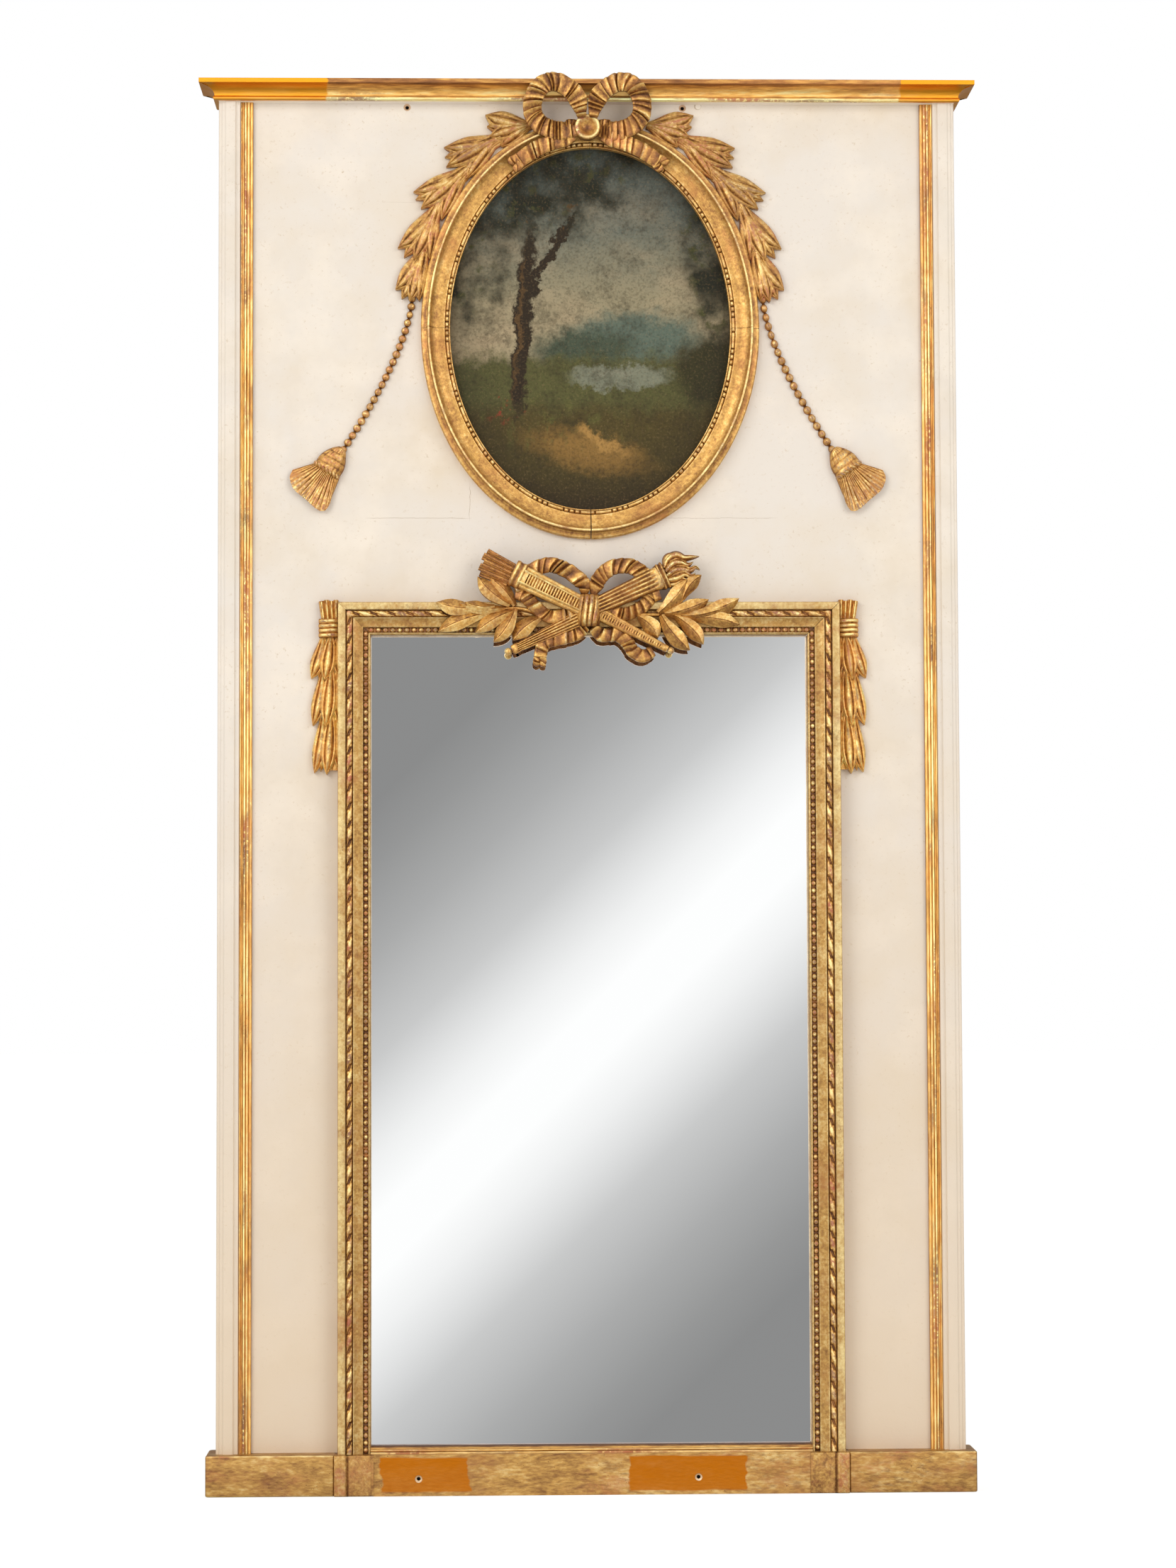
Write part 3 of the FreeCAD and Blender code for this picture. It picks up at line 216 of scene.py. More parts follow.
def on_plane(points, reach):
    """Points (x, z) as places on the plane that stands out from the wall by reach."""
    points = np.asarray(points, float)
    return np.stack((points[:, 0], np.full(len(points), -float(reach)), points[:, 1]), axis=1)


def square_to(path):
    """The unit steps across a path, in the plane of the face."""
    ahead = np.gradient(path, axis=0)
    across = np.stack((-ahead[:, 2], np.zeros(len(path)), ahead[:, 0]), axis=1)
    return across / np.linalg.norm(across, axis=1, keepdims=True)


def closed(grid, level=None):
    """A grid with two more columns that close its sections along the back, at a level or at their ends."""
    if level is None:
        return np.concatenate((grid, grid[:, -1:], grid[:, :1]), axis=1)
    return np.concatenate((grid, np.full((len(grid), 2), float(level))), axis=1)


def carved(path, spread, rise, relief, across=None):
    """A skin over a path: at each station the points lie spread across it and rise out from it.

    The path is one place for each row, or a place and a step across for each point of the closed skin.
    """
    if path.ndim == 2:
        path, across = path[:, None], square_to(path)[:, None]
    spread, rise, relief, _ = np.broadcast_arrays(spread, rise, relief, path[:, :1, 0])
    return path + across * closed(spread)[..., None] + OUT * closed(rise, 0)[..., None], closed(relief, 0.15)


def bump(value, centre, width):
    """A smooth hill of height 1 about centre: the bell curve."""
    return np.exp(-((value - centre) / width) ** 2)


def half_round(v, fullness=1.0):
    """The height of a half round across v from -1 to 1: the root of 1 - (fullness v)^2."""
    return np.sqrt(np.clip(1 - (fullness * v) ** 2, 0, 1))


def lobes(turns, power):
    """Round lobes with a sharp groove at each whole turn: the size of a sine, raised to a power."""
    return np.abs(np.sin(np.pi * turns)) ** power


def spans(rows, columns):
    """t from 0 to 1 down the rows of a grid, and v from -1 to 1 across its columns."""
    return np.linspace(0, 1, rows)[:, None], np.linspace(-1, 1, columns)[None, :]


def wander(count, seed, amount, waves=3):
    """Slow unevenness of hand work along a path: a few sine waves of random phase."""
    phase = np.random.default_rng(seed).uniform(0, 2 * np.pi, waves)
    place = np.linspace(0, 2 * np.pi, count)
    return amount * sum(np.sin((wave + 1) * place + phase[wave]) for wave in range(waves)) / waves


def leaf_grid(base, tip, wide, reach, bend, rows=26, columns=23):
    """The path and half width of a pointed leaf: it widens to its fullest at 0.6 and closes to a point."""
    t = np.linspace(0, 0.995, rows)[:, None]
    v = np.linspace(-1, 1, columns)[None, :]
    base, tip = on_plane([base, tip], reach)
    run = tip - base
    side = np.array((-run[2], 0, run[0])) / np.linalg.norm(run)
    path = base + run * t + side * (bend * 4 * t * (1 - t))
    opening = 0.34 + 0.66 * np.sin(np.pi / 2 * np.clip(t / 0.6, 0, 1)) ** 1.3
    closing = np.cos(np.pi / 2 * np.clip((t - 0.6) / 0.4, 0, 1)) ** 0.9
    return t, v, path, wide / 2 * opening * closing


def husk(base, tip, wide, tall, reach, bend=0.0, lift=0.0, tilt=0.0):
    """A husk leaf that tilts out: a rib down its middle, a groove on each side and edges that drop away."""
    t, v, path, half = leaf_grid(base, tip, wide, reach, bend)
    groove = bump(np.abs(v), 0.46, 0.12) * np.clip(t * 4, 0, 1) * np.clip((1.02 - t) * 5, 0, 1)
    rib = bump(v, 0, 0.10)
    section = 0.84 - 0.40 * np.abs(v) ** 2.6 + 0.10 * rib - 0.26 * groove
    swell = 0.62 + 0.38 * np.sin(np.pi * np.clip(0.12 + 0.80 * t, 0, 1)) + 0.08 * t
    rise = lift + tilt * t + tall * swell * section
    worn = np.clip((np.abs(v) - 0.80) * 5, 0, 1)
    relief = 0.52 + 0.24 * rib - 0.32 * groove + 0.34 * worn + 0.08 * swell
    return carved(path, half * v, rise, np.clip(relief, 0.03, 1))


def blade(base, tip, wide, tall, reach, bend=0.0, lift=0.0):
    """A laurel leaf: two faces that slope from a raised fold, with a fine line cut along the fold. The
    steeper face is painted darker, as shade.
    """
    t, v, path, half = leaf_grid(base, tip, wide, reach, bend)
    line = bump(v, 0, 0.055) * np.clip((0.96 - t) * 8, 0, 1)
    veins = np.sin(2 * np.pi * (7 * t - 2.2 * np.abs(v))) * np.clip(1 - np.abs(v), 0, 1)
    section = 1.0 - np.where(v < 0, 0.74, 0.34) * np.abs(v) ** 1.1 - 0.12 * line + 0.012 * veins
    swell = 0.60 + 0.40 * np.sin(np.pi * np.clip(0.15 + 0.80 * t, 0, 1))
    worn = np.clip((np.abs(v) - 0.86) * 7, 0, 1)
    # The steeper face (v < 0) gets a lower relief: painted shade on the face turned from the light.
    relief = 0.64 - 0.40 * line + 0.22 * worn - np.where(v < 0, 0.20, 0.0) + 0.03 * veins
    return carved(path, half * v, lift + tall * swell * section, np.clip(relief, 0.03, 1))


# Finishes -------------------------------------------------------------------------------------

def add_node(tree, kind, inputs=None, **settings):
    """Adds a node with its settings and links. An input is a value or the socket that feeds it."""
    node = tree.nodes.new(kind)
    for name, value in settings.items():
        setattr(node, name, value)
    for key, value in (inputs or {}).items():
        if isinstance(value, bpy.types.NodeSocket):
            tree.links.new(value, node.inputs[key])
        else:
            node.inputs[key].default_value = value
    return node


def new_material(name):
    """An empty material with its output, its node tree and the socket of places on the object."""
    material = bpy.data.materials.new(name)
    material.use_nodes = True
    tree = material.node_tree
    tree.nodes.clear()
    place = add_node(tree, "ShaderNodeTexCoord").outputs["Object"]
    return material, tree, place


def patches(tree, place, grain, start, end, stretch=(1, 1, 1), detail=4.0):
    """A mask of irregular patches: noise whose features are grain millimetres across, from start to end.

    stretch makes the patches longer along an axis.
    """
    scale = tuple(1 / part for part in stretch)
    scaled = add_node(tree, "ShaderNodeMapping", {"Vector": place, "Scale": scale}).outputs[0]
    noise = add_node(tree, "ShaderNodeTexNoise", {"Vector": scaled, "Scale": 1000 / grain / 2,
                                                  "Detail": detail, "Roughness": 0.6})
    return add_node(tree, "ShaderNodeMapRange",
                    {"Value": noise.outputs["Fac"], "From Min": start, "From Max": end}).outputs[0]


def product(tree, *masks):
    """The product of masks."""
    result = masks[0]
    for mask in masks[1:]:
        result = add_node(tree, "ShaderNodeMath", {0: result, 1: mask}, operation="MULTIPLY").outputs[0]
    return result


def coats(tree, base, *layers):
    """Coats over a base colour, each a hex colour, a colour or a socket, and the mask of where it lies."""
    base = linear(base) if isinstance(base, str) else base
    for paint, mask in layers:
        paint = linear(paint) if isinstance(paint, str) else paint
        base = add_node(tree, "ShaderNodeMix", {0: mask, 6: base, 7: paint}, data_type="RGBA").outputs[2]
    return base


def near_line(tree, place, axis, level, half, start, end, waver):
    """A thin wavering line on the face, along the other axis from start to end, in millimetres.

    It is 1 where the distance from the level, moved by a slow noise, is under half.
    """
    other = "Z" if axis == "X" else "X"
    parts = add_node(tree, "ShaderNodeSeparateXYZ", {0: place})
    drift = product(tree, patches(tree, place, 14, 0.3, 0.7), waver / 1000)
    moved = add_node(tree, "ShaderNodeMath", {0: parts.outputs[axis], 1: drift}, operation="ADD").outputs[0]
    gap = add_node(tree, "ShaderNodeMath", {0: moved, 1: (level + waver / 2) / 1000}, operation="SUBTRACT")
    gap = add_node(tree, "ShaderNodeMath", {0: gap.outputs[0]}, operation="ABSOLUTE").outputs[0]
    masks = [add_node(tree, "ShaderNodeMapRange", {"Value": gap, "From Min": 0, "From Max": half / 1000,
                                                   "To Min": 1, "To Max": 0}).outputs[0]]
    for edge, sign in ((start, 1), (end, -1)):
        masks.append(add_node(tree, "ShaderNodeMapRange",
                              {"Value": parts.outputs[other], "From Min": (edge - sign * 4) / 1000,
                               "From Max": (edge + sign * 10) / 1000}).outputs[0])
    return product(tree, *masks)


def near_spot(tree, place, x, z, radius, soft):
    """A round spot on the face about x and z: 1 inside the radius, in millimetres."""
    centred = add_node(tree, "ShaderNodeMapping", {"Vector": place, "Location": (-x / 1000, 0, -z / 1000)})
    flat = add_node(tree, "ShaderNodeVectorMath", {0: centred.outputs[0], 1: (1, 0, 1)}, operation="MULTIPLY")
    far = add_node(tree, "ShaderNodeVectorMath", {0: flat.outputs[0]}, operation="LENGTH").outputs["Value"]
    return add_node(tree, "ShaderNodeMapRange", {"Value": far, "From Min": radius / 1000,
                                                 "From Max": (radius + soft) / 1000,
                                                 "To Min": 1, "To Max": 0}).outputs[0]


def finish_surface(material, tree, base, roughness, metallic=0.0, height=None, depth=0.1, **extra):
    """The shader at the end of a finish: its colour, gloss and fine relief, depth millimetres deep."""
    inputs = {"Base Color": base, "Roughness": roughness, "Metallic": metallic}
    inputs.update(extra)
    if height is not None:
        inputs["Normal"] = add_node(tree, "ShaderNodeBump", {"Height": height, "Strength": 0.8,
                                                             "Distance": depth / 1000}).outputs[0]
    shader = add_node(tree, "ShaderNodeBsdfPrincipled", inputs)
    add_node(tree, "ShaderNodeOutputMaterial", {"Surface": shader.outputs[0]})
    return material


def countersink_and_bore_shade(tree, place, base, holes, ring):
    """The bare ring of a countersink, and painted shade in the bore inside it, over the base colour."""
    for x, z in holes:
        base = coats(tree, base, (ring, near_spot(tree, place, x, z, 4.2, 0.7)),
                     # The near-black disc is painted shade inside the hole.
                     ("#2A1B10", near_spot(tree, place, x, z, 2.1, 0.5)))
    return base


def wall_side(tree):
    """A mask of the faces that look at the wall."""
    normal = add_node(tree, "ShaderNodeNewGeometry").outputs["Normal"]
    turned = add_node(tree, "ShaderNodeSeparateXYZ", {0: normal}).outputs["Y"]
    return add_node(tree, "ShaderNodeMapRange", {"Value": turned, "From Min": 0.4,
                                                 "From Max": 0.6}).outputs[0]


def cream_paint(name, cracked=False, bare_back=False):
    """Old oil paint on gessoed boards: warm cream, matt, faintly mottled, dusty in its pores, and darker
    towards the foot. cracked adds the opened joints of the boards, the screw holes and a filled hole."""
    material, tree, place = new_material(name)
    pores = product(tree, patches(tree, place, 2.2, 0.6, 0.75), patches(tree, place, 25, 0.3, 0.7))
    level = add_node(tree, "ShaderNodeSeparateXYZ", {0: place}).outputs["Z"]
    # The paint is made darker towards the foot, by height alone.
    lower = add_node(tree, "ShaderNodeMapRange", {"Value": level, "From Min": 1.1, "From Max": 0.1,
                                                  "To Max": 0.75}).outputs[0]
    base = coats(tree, colour_of("cream"), ("#E6D7C1", patches(tree, place, 90, 0.42, 0.75)),
                 ("#F6EBDC", patches(tree, place, 50, 0.48, 0.8)), ("#D2BFA4", pores), ("#E3CDB0", lower))
    if cracked:
        for line, strength in ((("Z", 1251.5, 0.45, -288, -155, 1.2), 0.8),
                               (("Z", 1251.5, 0.4, 9, 244, 1.6), 0.7),
                               (("X", -153.6, 0.5, 1250, 1295, 3.0), 0.8),
                               (("Z", 1665.5, 0.35, -266, -220, 0.8), 0.35)):
            base = coats(tree, base, ("#A58C6C", product(tree, near_line(tree, place, *line), strength)))
        base = countersink_and_bore_shade(tree, place, base, SCREWS["top"], "#D9B795")
        base = coats(tree, base, ("#C9B9A2", near_spot(tree, place, 144.6, 1793, 4.4, 0.8)),
                     ("#F4EBDD", near_spot(tree, place, 145.4, 1792.6, 3.0, 1.2)))
    if bare_back:
        base = coats(tree, base, (pine_colour(tree, place, (1, 1, 30)), wall_side(tree)))
    height = patches(tree, place, 3.0, 0.2, 0.8)
    return finish_surface(material, tree, base, 0.62, height=height, depth=0.12)


def pine_colour(tree, place, stretch):
    """Oxidised pine: brown bands of growth that run along the board, darker in the late wood."""
    return coats(tree, colour_of("pine"), ("#6E4F30", patches(tree, place, 7, 0.35, 0.7, stretch=stretch)),
                 ("#BE9A6D", patches(tree, place, 3, 0.55, 0.75, stretch=stretch)))


def bare_pine(name, stretch):
    """Bare softwood of the back, sawn and planed, with its grain along the board."""
    material, tree, place = new_material(name)
    dirt = product(tree, patches(tree, place, 120, 0.45, 0.8), patches(tree, place, 4, 0.35, 0.75))
    base = coats(tree, pine_colour(tree, place, stretch), ("#4A3726", dirt))
    height = patches(tree, place, 2.5, 0.3, 0.7, stretch=stretch)
    return finish_surface(material, tree, base, 0.8, height=height, depth=0.3)


def gilded_wood(name, rub=0.5, tone=0.5, light=1.0, flat=None, grain=(1, 1, 1), amber=(), varnish=None,
                holes=()):
    """Water gilding: gold leaf over bole and gesso, burnished and toned.

    The relief attribute sets the leaf's colour, from brown size in the hollows to bright gold on the crests,
    whose paleness is partly a painted highlight, and flat stands in for it on plain boards. light scales the
    leaf's colours as painted light and shade, a lit or a shaded copy of the gilding for each piece. rub says
    how much of the bole and of the brown size shows where hands and dusters wore the leaf, tone how much dirt
    lies on it, and grain how far its marks run along a moulding. amber holds boxes (left, right, low, high)
    of varnish.
    """
    material, tree, place = new_material(name)

    # Painted light and shade: leaf() scales every colour by light, so each piece gets a lit or a shaded copy
    # of the gilding.
    def leaf(shade):
        return (*(min(part * light, 1.0) for part in shade[:3]), 1)

    def along(size, start, end):
        return patches(tree, place, size, start, end, stretch=grain)

    if flat is None:
        relief = add_node(tree, "ShaderNodeAttribute", attribute_name="relief", attribute_type="GEOMETRY")
        relief = relief.outputs["Fac"]
    else:
        relief = add_node(tree, "ShaderNodeMapRange", {"Value": along(45, 0.3, 0.7), "To Min": flat - 0.12,
                                                       "To Max": flat + 0.12}).outputs[0]
    level = relief
    for size, spread in ((24, 0.09), (6, 0.11), (1.7, 0.17)):
        cloud = add_node(tree, "ShaderNodeMapRange",
                         {"Value": along(size, 0.3, 0.7), "To Min": -spread * (0.8 + 0.5 * tone),
                          "To Max": spread * 0.8}).outputs[0]
        level = add_node(tree, "ShaderNodeMath", {0: level, 1: cloud}, operation="ADD").outputs[0]
    ramp = add_node(tree, "ShaderNodeValToRGB", {0: level})
    stops = ramp.color_ramp.elements
    stops[0].position, stops[0].color = 0.0, leaf(linear("#56331A"))
    # The crests' pale gold is partly a painted highlight.
    stops[1].position, stops[1].color = 1.0, leaf(colour_of("crest_gold_and_highlight"))
    for position, shade in ((0.24, "gold_deep"), (0.56, "gold")):
        stops.new(position).color = leaf(colour_of(shade))
    reddish = product(tree, along(34, 0.48, 0.70), patches(tree, place, 5, 0.3, 0.7))
    crest = add_node(tree, "ShaderNodeMapRange", {"Value": relief, "From Min": 0.50,
                                                  "From Max": 0.85}).outputs[0]
    worn = product(tree, along(9, 0.56 - 0.14 * rub, 0.66 - 0.12 * rub), crest,
                   patches(tree, place, 2.2, 0.36, 0.50), min(0.9, 1.6 * rub))
    ground = coats(tree, "#84503E", (colour_of("bole"), patches(tree, place, 55, 0.46, 0.56)))
    dirt = product(tree, along(50, 0.35, 0.75), along(2.4, 0.50, 0.68), 0.35 + 0.5 * tone)
    specks = product(tree, patches(tree, place, 0.9, 0.70, 0.76, detail=1.0),
                     patches(tree, place, 30, 0.45, 0.6))
    base = coats(tree, ramp.outputs[0], (leaf(linear("#B4783F")), reddish), (ground, worn), ("#6E4826", dirt),
                 ("#5A3A1E", specks))
    gloss = add_node(tree, "ShaderNodeMapRange", {"Value": along(12, 0.3, 0.7), "To Min": 0.48,
                                                  "To Max": 0.32}).outputs[0]
    metal = add_node(tree, "ShaderNodeMapRange", {"Value": worn, "To Min": 0.54, "To Max": 0.06}).outputs[0]
    for box in amber:
        mask = varnish_box(tree, place, *box)
        base = coats(tree, base, (varnish or colour_of("amber"), mask))
        metal = add_node(tree, "ShaderNodeMath", {0: metal, 1: mask}, operation="MAXIMUM").outputs[0]
    base = countersink_and_bore_shade(tree, place, base, holes, "#E4CDAE")
    height = along(1.6, 0.2, 0.8)
    return finish_surface(material, tree, base, gloss, metallic=metal, height=height, depth=0.28)


def varnish_box(tree, place, left, right, bottom, top):
    """A brushed patch with ragged ends: 1 inside the box, whose edges are moved by noise."""
    ragged = patches(tree, place, 16, 0.2, 0.8, stretch=(3, 1, 1))
    parts = add_node(tree, "ShaderNodeSeparateXYZ", {0: place})
    masks = []
    for axis, edge, sign, swing in (("X", left, 1, 16), ("X", right, -1, 16), ("Z", bottom, 1, 5),
                                    ("Z", top, -1, 5)):
        moved = add_node(tree, "ShaderNodeMath", {0: ragged, 1: swing / 1000, 2: parts.outputs[axis]},
                         operation="MULTIPLY_ADD").outputs[0]
        masks.append(add_node(tree, "ShaderNodeMapRange",
                              {"Value": moved, "From Min": (edge + swing / 2 - sign * 1.2) / 1000,
                               "From Max": (edge + swing / 2 + sign * 1.2) / 1000}).outputs[0])
    depth = patches(tree, place, 30, 0.3, 0.7, stretch=(3, 1, 1))
    depth = add_node(tree, "ShaderNodeMapRange", {"Value": depth, "To Min": 0.84, "To Max": 1.0}).outputs[0]
    return product(tree, depth, *masks)


def mirror_plate(name):
    """Silvered plate glass: a polished metal with no colour of its own."""
    material, tree, place = new_material(name)
    return finish_surface(material, tree, linear("#FAFBFB"), 0.0, metallic=1.0)


def painting(name):
    """Varnished oil paint on fine canvas: a quiet landscape with trees, a lake and hills, darkened by age.

    Places on the canvas are taken as shares of its half width and half height from its middle.
    """
    material, tree, place = new_material(name)
    middle = (low("oval_canvas") + high("oval_canvas")) / 2000
    half = (high("oval_canvas") - low("oval_canvas")) / 2000
    inner = add_node(tree, "ShaderNodeMapping",
                     {"Vector": place, "Scale": (1 / half[0], 0, 1 / half[2]),
                      "Location": (-middle[0] / half[0], 0, -middle[2] / half[2])}).outputs[0]
    drag = add_node(tree, "ShaderNodeTexNoise", {"Vector": place, "Scale": 34.0, "Detail": 6.0,
                                                 "Roughness": 0.7})
    drag = add_node(tree, "ShaderNodeVectorMath", {0: drag.outputs["Color"], 1: (0.5, 0.5, 0.5)},
                    operation="SUBTRACT")
    drag = add_node(tree, "ShaderNodeVectorMath", {0: drag.outputs[0], "Scale": 0.26}, operation="SCALE")
    brushed = add_node(tree, "ShaderNodeVectorMath", {0: inner, 1: drag.outputs[0]}, operation="ADD")
    brushed = brushed.outputs[0]
    up = add_node(tree, "ShaderNodeSeparateXYZ", {0: brushed}).outputs["Z"]

    def slope(value, start, end):
        """A soft step from 0 at start to 1 at end."""
        return add_node(tree, "ShaderNodeMapRange", {"Value": value, "From Min": start, "From Max": end},
                        interpolation_type="SMOOTHSTEP").outputs[0]

    def blob(x, z, wide, tall, soft=0.35, turn=0.0):
        """An oval about x and z with a soft edge."""
        moved = add_node(tree, "ShaderNodeMapping",
                         {"Vector": brushed, "Location": (x, 0, z), "Rotation": (0, turn, 0),
                          "Scale": (wide, 1, tall)}, vector_type="TEXTURE")
        flat = add_node(tree, "ShaderNodeVectorMath", {0: moved.outputs[0], 1: (1, 0, 1)},
                        operation="MULTIPLY")
        far = add_node(tree, "ShaderNodeVectorMath", {0: flat.outputs[0]}, operation="LENGTH")
        return slope(far.outputs["Value"], 1.0, 1.0 - soft)

    def dabs(grain, start, end, **more):
        """Dabs of the brush, grain millimetres across."""
        return patches(tree, place, grain, start, end, **more)

    clouds = product(tree, dabs(70, 0.45, 0.7, stretch=(1.8, 1, 1)), slope(up, 0.95, 0.2))
    sky = coats(tree, "#99A08C", ("#5C7276", slope(up, 0.05, 0.75)), ("#BDBBA4", clouds))
    hills = coats(tree, sky, ("#5E7874", blob(0.30, -0.06, 0.62, 0.20, 0.5)),
                  ("#465A50", blob(-0.05, -0.12, 0.45, 0.16, 0.5)), ("#56603E", slope(up, -0.10, -0.20)))
    lake = coats(tree, hills, ("#7C8E84", blob(0.22, -0.25, 0.42, 0.075, 0.4)),
                 ("#84948A", blob(0.16, -0.235, 0.22, 0.02, 0.5)))
    shore = coats(tree, lake, ("#363A22", blob(0.86, -0.22, 0.36, 0.26, 0.5)),
                  ("#4E4C2C", slope(up, -0.36, -0.50)),
                  ("#8A7746", blob(-0.02, -0.66, 0.62, 0.15, 0.7, 0.18)),
                  ("#A99259", blob(0.08, -0.60, 0.26, 0.05, 0.6, 0.35)), ("#3E3822", slope(up, -0.72, -0.98)))
    base = coats(tree, shore, ("#2A2419", blob(-0.46, 0.05, 0.075, 0.62, 0.3, 0.10)),
                 ("#2A2419", blob(-0.26, 0.42, 0.04, 0.34, 0.3, 0.62)),
                 ("#584A31", blob(-0.485, 0.02, 0.02, 0.5, 0.6, 0.10)))
    gaps = dabs(30, 0.60, 0.40)
    for x, z, wide, tall in ((-0.42, 0.74, 0.62, 0.36), (-0.80, 0.34, 0.30, 0.42), (0.08, 0.86, 0.46, 0.24),
                             (0.80, 0.46, 0.22, 0.40), (0.92, 0.12, 0.24, 0.3)):
        dark = product(tree, blob(x, z, wide, tall, 0.45), gaps)
        lit = product(tree, blob(x - 0.05, z + 0.03, wide * 0.85, tall * 0.8, 0.6), dabs(9, 0.54, 0.66))
        base = coats(tree, base, ("#1F261A", dark), ("#4B5634", lit))
    autumn = product(tree, blob(-0.30, 0.62, 0.5, 0.3, 0.6), dabs(12, 0.64, 0.72))
    flowers = product(tree, blob(-0.62, -0.42, 0.2, 0.12, 0.7), dabs(5, 0.58, 0.66))
    grass = product(tree, blob(-0.3, -0.5, 0.9, 0.2, 0.8), dabs(6, 0.55, 0.7, stretch=(1, 1, 2)))
    rim = add_node(tree, "ShaderNodeVectorMath", {0: inner}, operation="LENGTH").outputs["Value"]
    rim = add_node(tree, "ShaderNodeMapRange", {"Value": rim, "From Min": 0.62, "From Max": 1.05,
                                                "To Max": 0.52}).outputs[0]
    mottle = product(tree, product(tree, dabs(11, 0.45, 0.62), dabs(3, 0.35, 0.6)), 0.45)
    cracks = add_node(tree, "ShaderNodeTexVoronoi", {"Vector": place, "Scale": 170.0},
                      feature="DISTANCE_TO_EDGE").outputs["Distance"]
    cracks = add_node(tree, "ShaderNodeMapRange", {"Value": cracks, "From Min": 0.0, "From Max": 0.04,
                                                   "To Min": 0.16, "To Max": 0.0}).outputs[0]
    base = coats(tree, base, ("#5A4A2C", autumn), ("#8C4A38", flowers), ("#5F6A3E", grass), ("#15160F", rim),
                 ("#A89C7C", product(tree, dabs(1.5, 0.52, 0.72), 0.22)), ("#2E2C1F", mottle),
                 ("#14130C", product(tree, dabs(1.7, 0.52, 0.34), 0.34)), ("#0F0E0A", cracks))
    base = add_node(tree, "ShaderNodeMix", {0: 1.0, 6: base, 7: linear("#FFE3CE")}, data_type="RGBA",
                    blend_type="MULTIPLY").outputs[2]
    linen = coats(tree, "#8C7A5C", ("#6B5A40", dabs(1.4, 0.4, 0.6)), ("#57482F", dabs(60, 0.5, 0.7)))
    base = coats(tree, base, (linen, wall_side(tree)))
    return finish_surface(material, tree, base, 0.5, height=dabs(2.4, 0.2, 0.8), depth=0.25,
                          **{"Specular IOR Level": 0.15})


# Mouldings ------------------------------------------------------------------------------------

def eased(corners, radius, steps=3):
    """A closed outline with every corner rounded: a few points on the curve that touches both sides of it."""
    corners = np.asarray(corners, float)
    before = np.roll(corners, 1, axis=0) - corners
    after = np.roll(corners, -1, axis=0) - corners
    sides = [np.linalg.norm(side, axis=1, keepdims=True) for side in (before, after)]
    reach = np.minimum(radius, 0.4 * np.minimum(*sides))
    start, end = (corners + side / size * reach for side, size in zip((before, after), sides))
    t = np.linspace(0, 1, steps)[None, :, None]
    rounded = (1 - t) ** 2 * start[:, None] + 2 * t * (1 - t) * corners[:, None] + t ** 2 * end[:, None]
    return rounded.reshape(-1, 2)


def arc_points(start, end, sag, count=8):
    """Points of a shallow arc from start to end that bulges by sag to the left of the way."""
    start, end = np.asarray(start, float), np.asarray(end, float)
    t = np.linspace(0, 1, count)[:, None]
    way = end - start
    left = np.array((-way[1], way[0])) / np.linalg.norm(way)
    return start + way * t + left * (sag * 4 * t * (1 - t))


def worn_relief(outline, back):
    """The relief along an outline: 1 where it is furthest out, and lower in its channels and at its back."""
    reach = outline[:, 1]
    level = (reach - back) / (reach.max() - back)
    turn = np.cross(outline - np.roll(outline, 1, axis=0), np.roll(outline, -1, axis=0) - outline)
    size = np.linalg.norm(outline - np.roll(outline, 1, axis=0), axis=1) + 0.3
    edge = np.clip(turn / size * 2.2, -0.25, 0.25) * np.sign(np.sum(turn))
    return np.clip(0.42 + 0.26 * np.clip(level, 0, 1) + edge, 0.05, 1)


def run_of(outline, ends, place, relief, count=30, seed=1, unevenness=0.12):
    """A straight moulding: its outline (across, reach) carried between two ends that may be mitred.

    ends gives the place along at each end for every outline point, and place(across, reach, along) the
    corner in space. Slow waves of hand work move the outline by a tenth of a millimetre.
    """
    t = np.linspace(0, 1, count)[:, None]
    start, end = (np.broadcast_to(edge, len(outline)) for edge in ends)
    along = start[None, :] * (1 - t) + end[None, :] * t
    lift = wander(count, seed, unevenness)[:, None]
    across = np.broadcast_to(outline[:, 0], along.shape)
    reach = np.broadcast_to(outline[:, 1], along.shape) + lift * (outline[:, 1] > outline[:, 1].min() + 1)
    points = place(across, reach, along)
    return points, np.broadcast_to(relief, along.shape), points[:, [0, -1]].mean(axis=1)


def long_strip(node, sign):
    """A long moulding's width, face and depth, its two ends, and its places measured from its outer edge."""
    bottom, top = low(node), high(node)
    edge = bottom[0] if sign < 0 else top[0]
    face = -top[1]

    def place(across, reach, along):
        return np.stack((edge - sign * across, -reach, along), axis=-1)

    return top[0] - bottom[0], face, -bottom[1] - face, (bottom[2], top[2]), place


def make_edges(material):
    """Stepped cream mouldings with soft, paint-filled corners."""
    steps = ((0, 0), (0, 0.62), (0.05, 0.72), (0.14, 0.72), (0.17, 0.85), (0.30, 0.86), (0.34, 1.0),
             (0.78, 1.0), (0.80, 0.80), (0.86, 0.72), (0.97, 0.72), (1, 0.64), (1, 0))
    for side, sign in SIDES:
        node = f"edge_moulding_{side}"
        wide, face, deep, ends, place = long_strip(node, sign)
        outline = eased([(across * wide, face + reach * deep) for across, reach in steps], 0.9)
        skin = run_of(outline, ends, place, 0.5, seed=3 + sign)
        put(f"edge_strip_{side}", [skin], material, node, sharp=35)


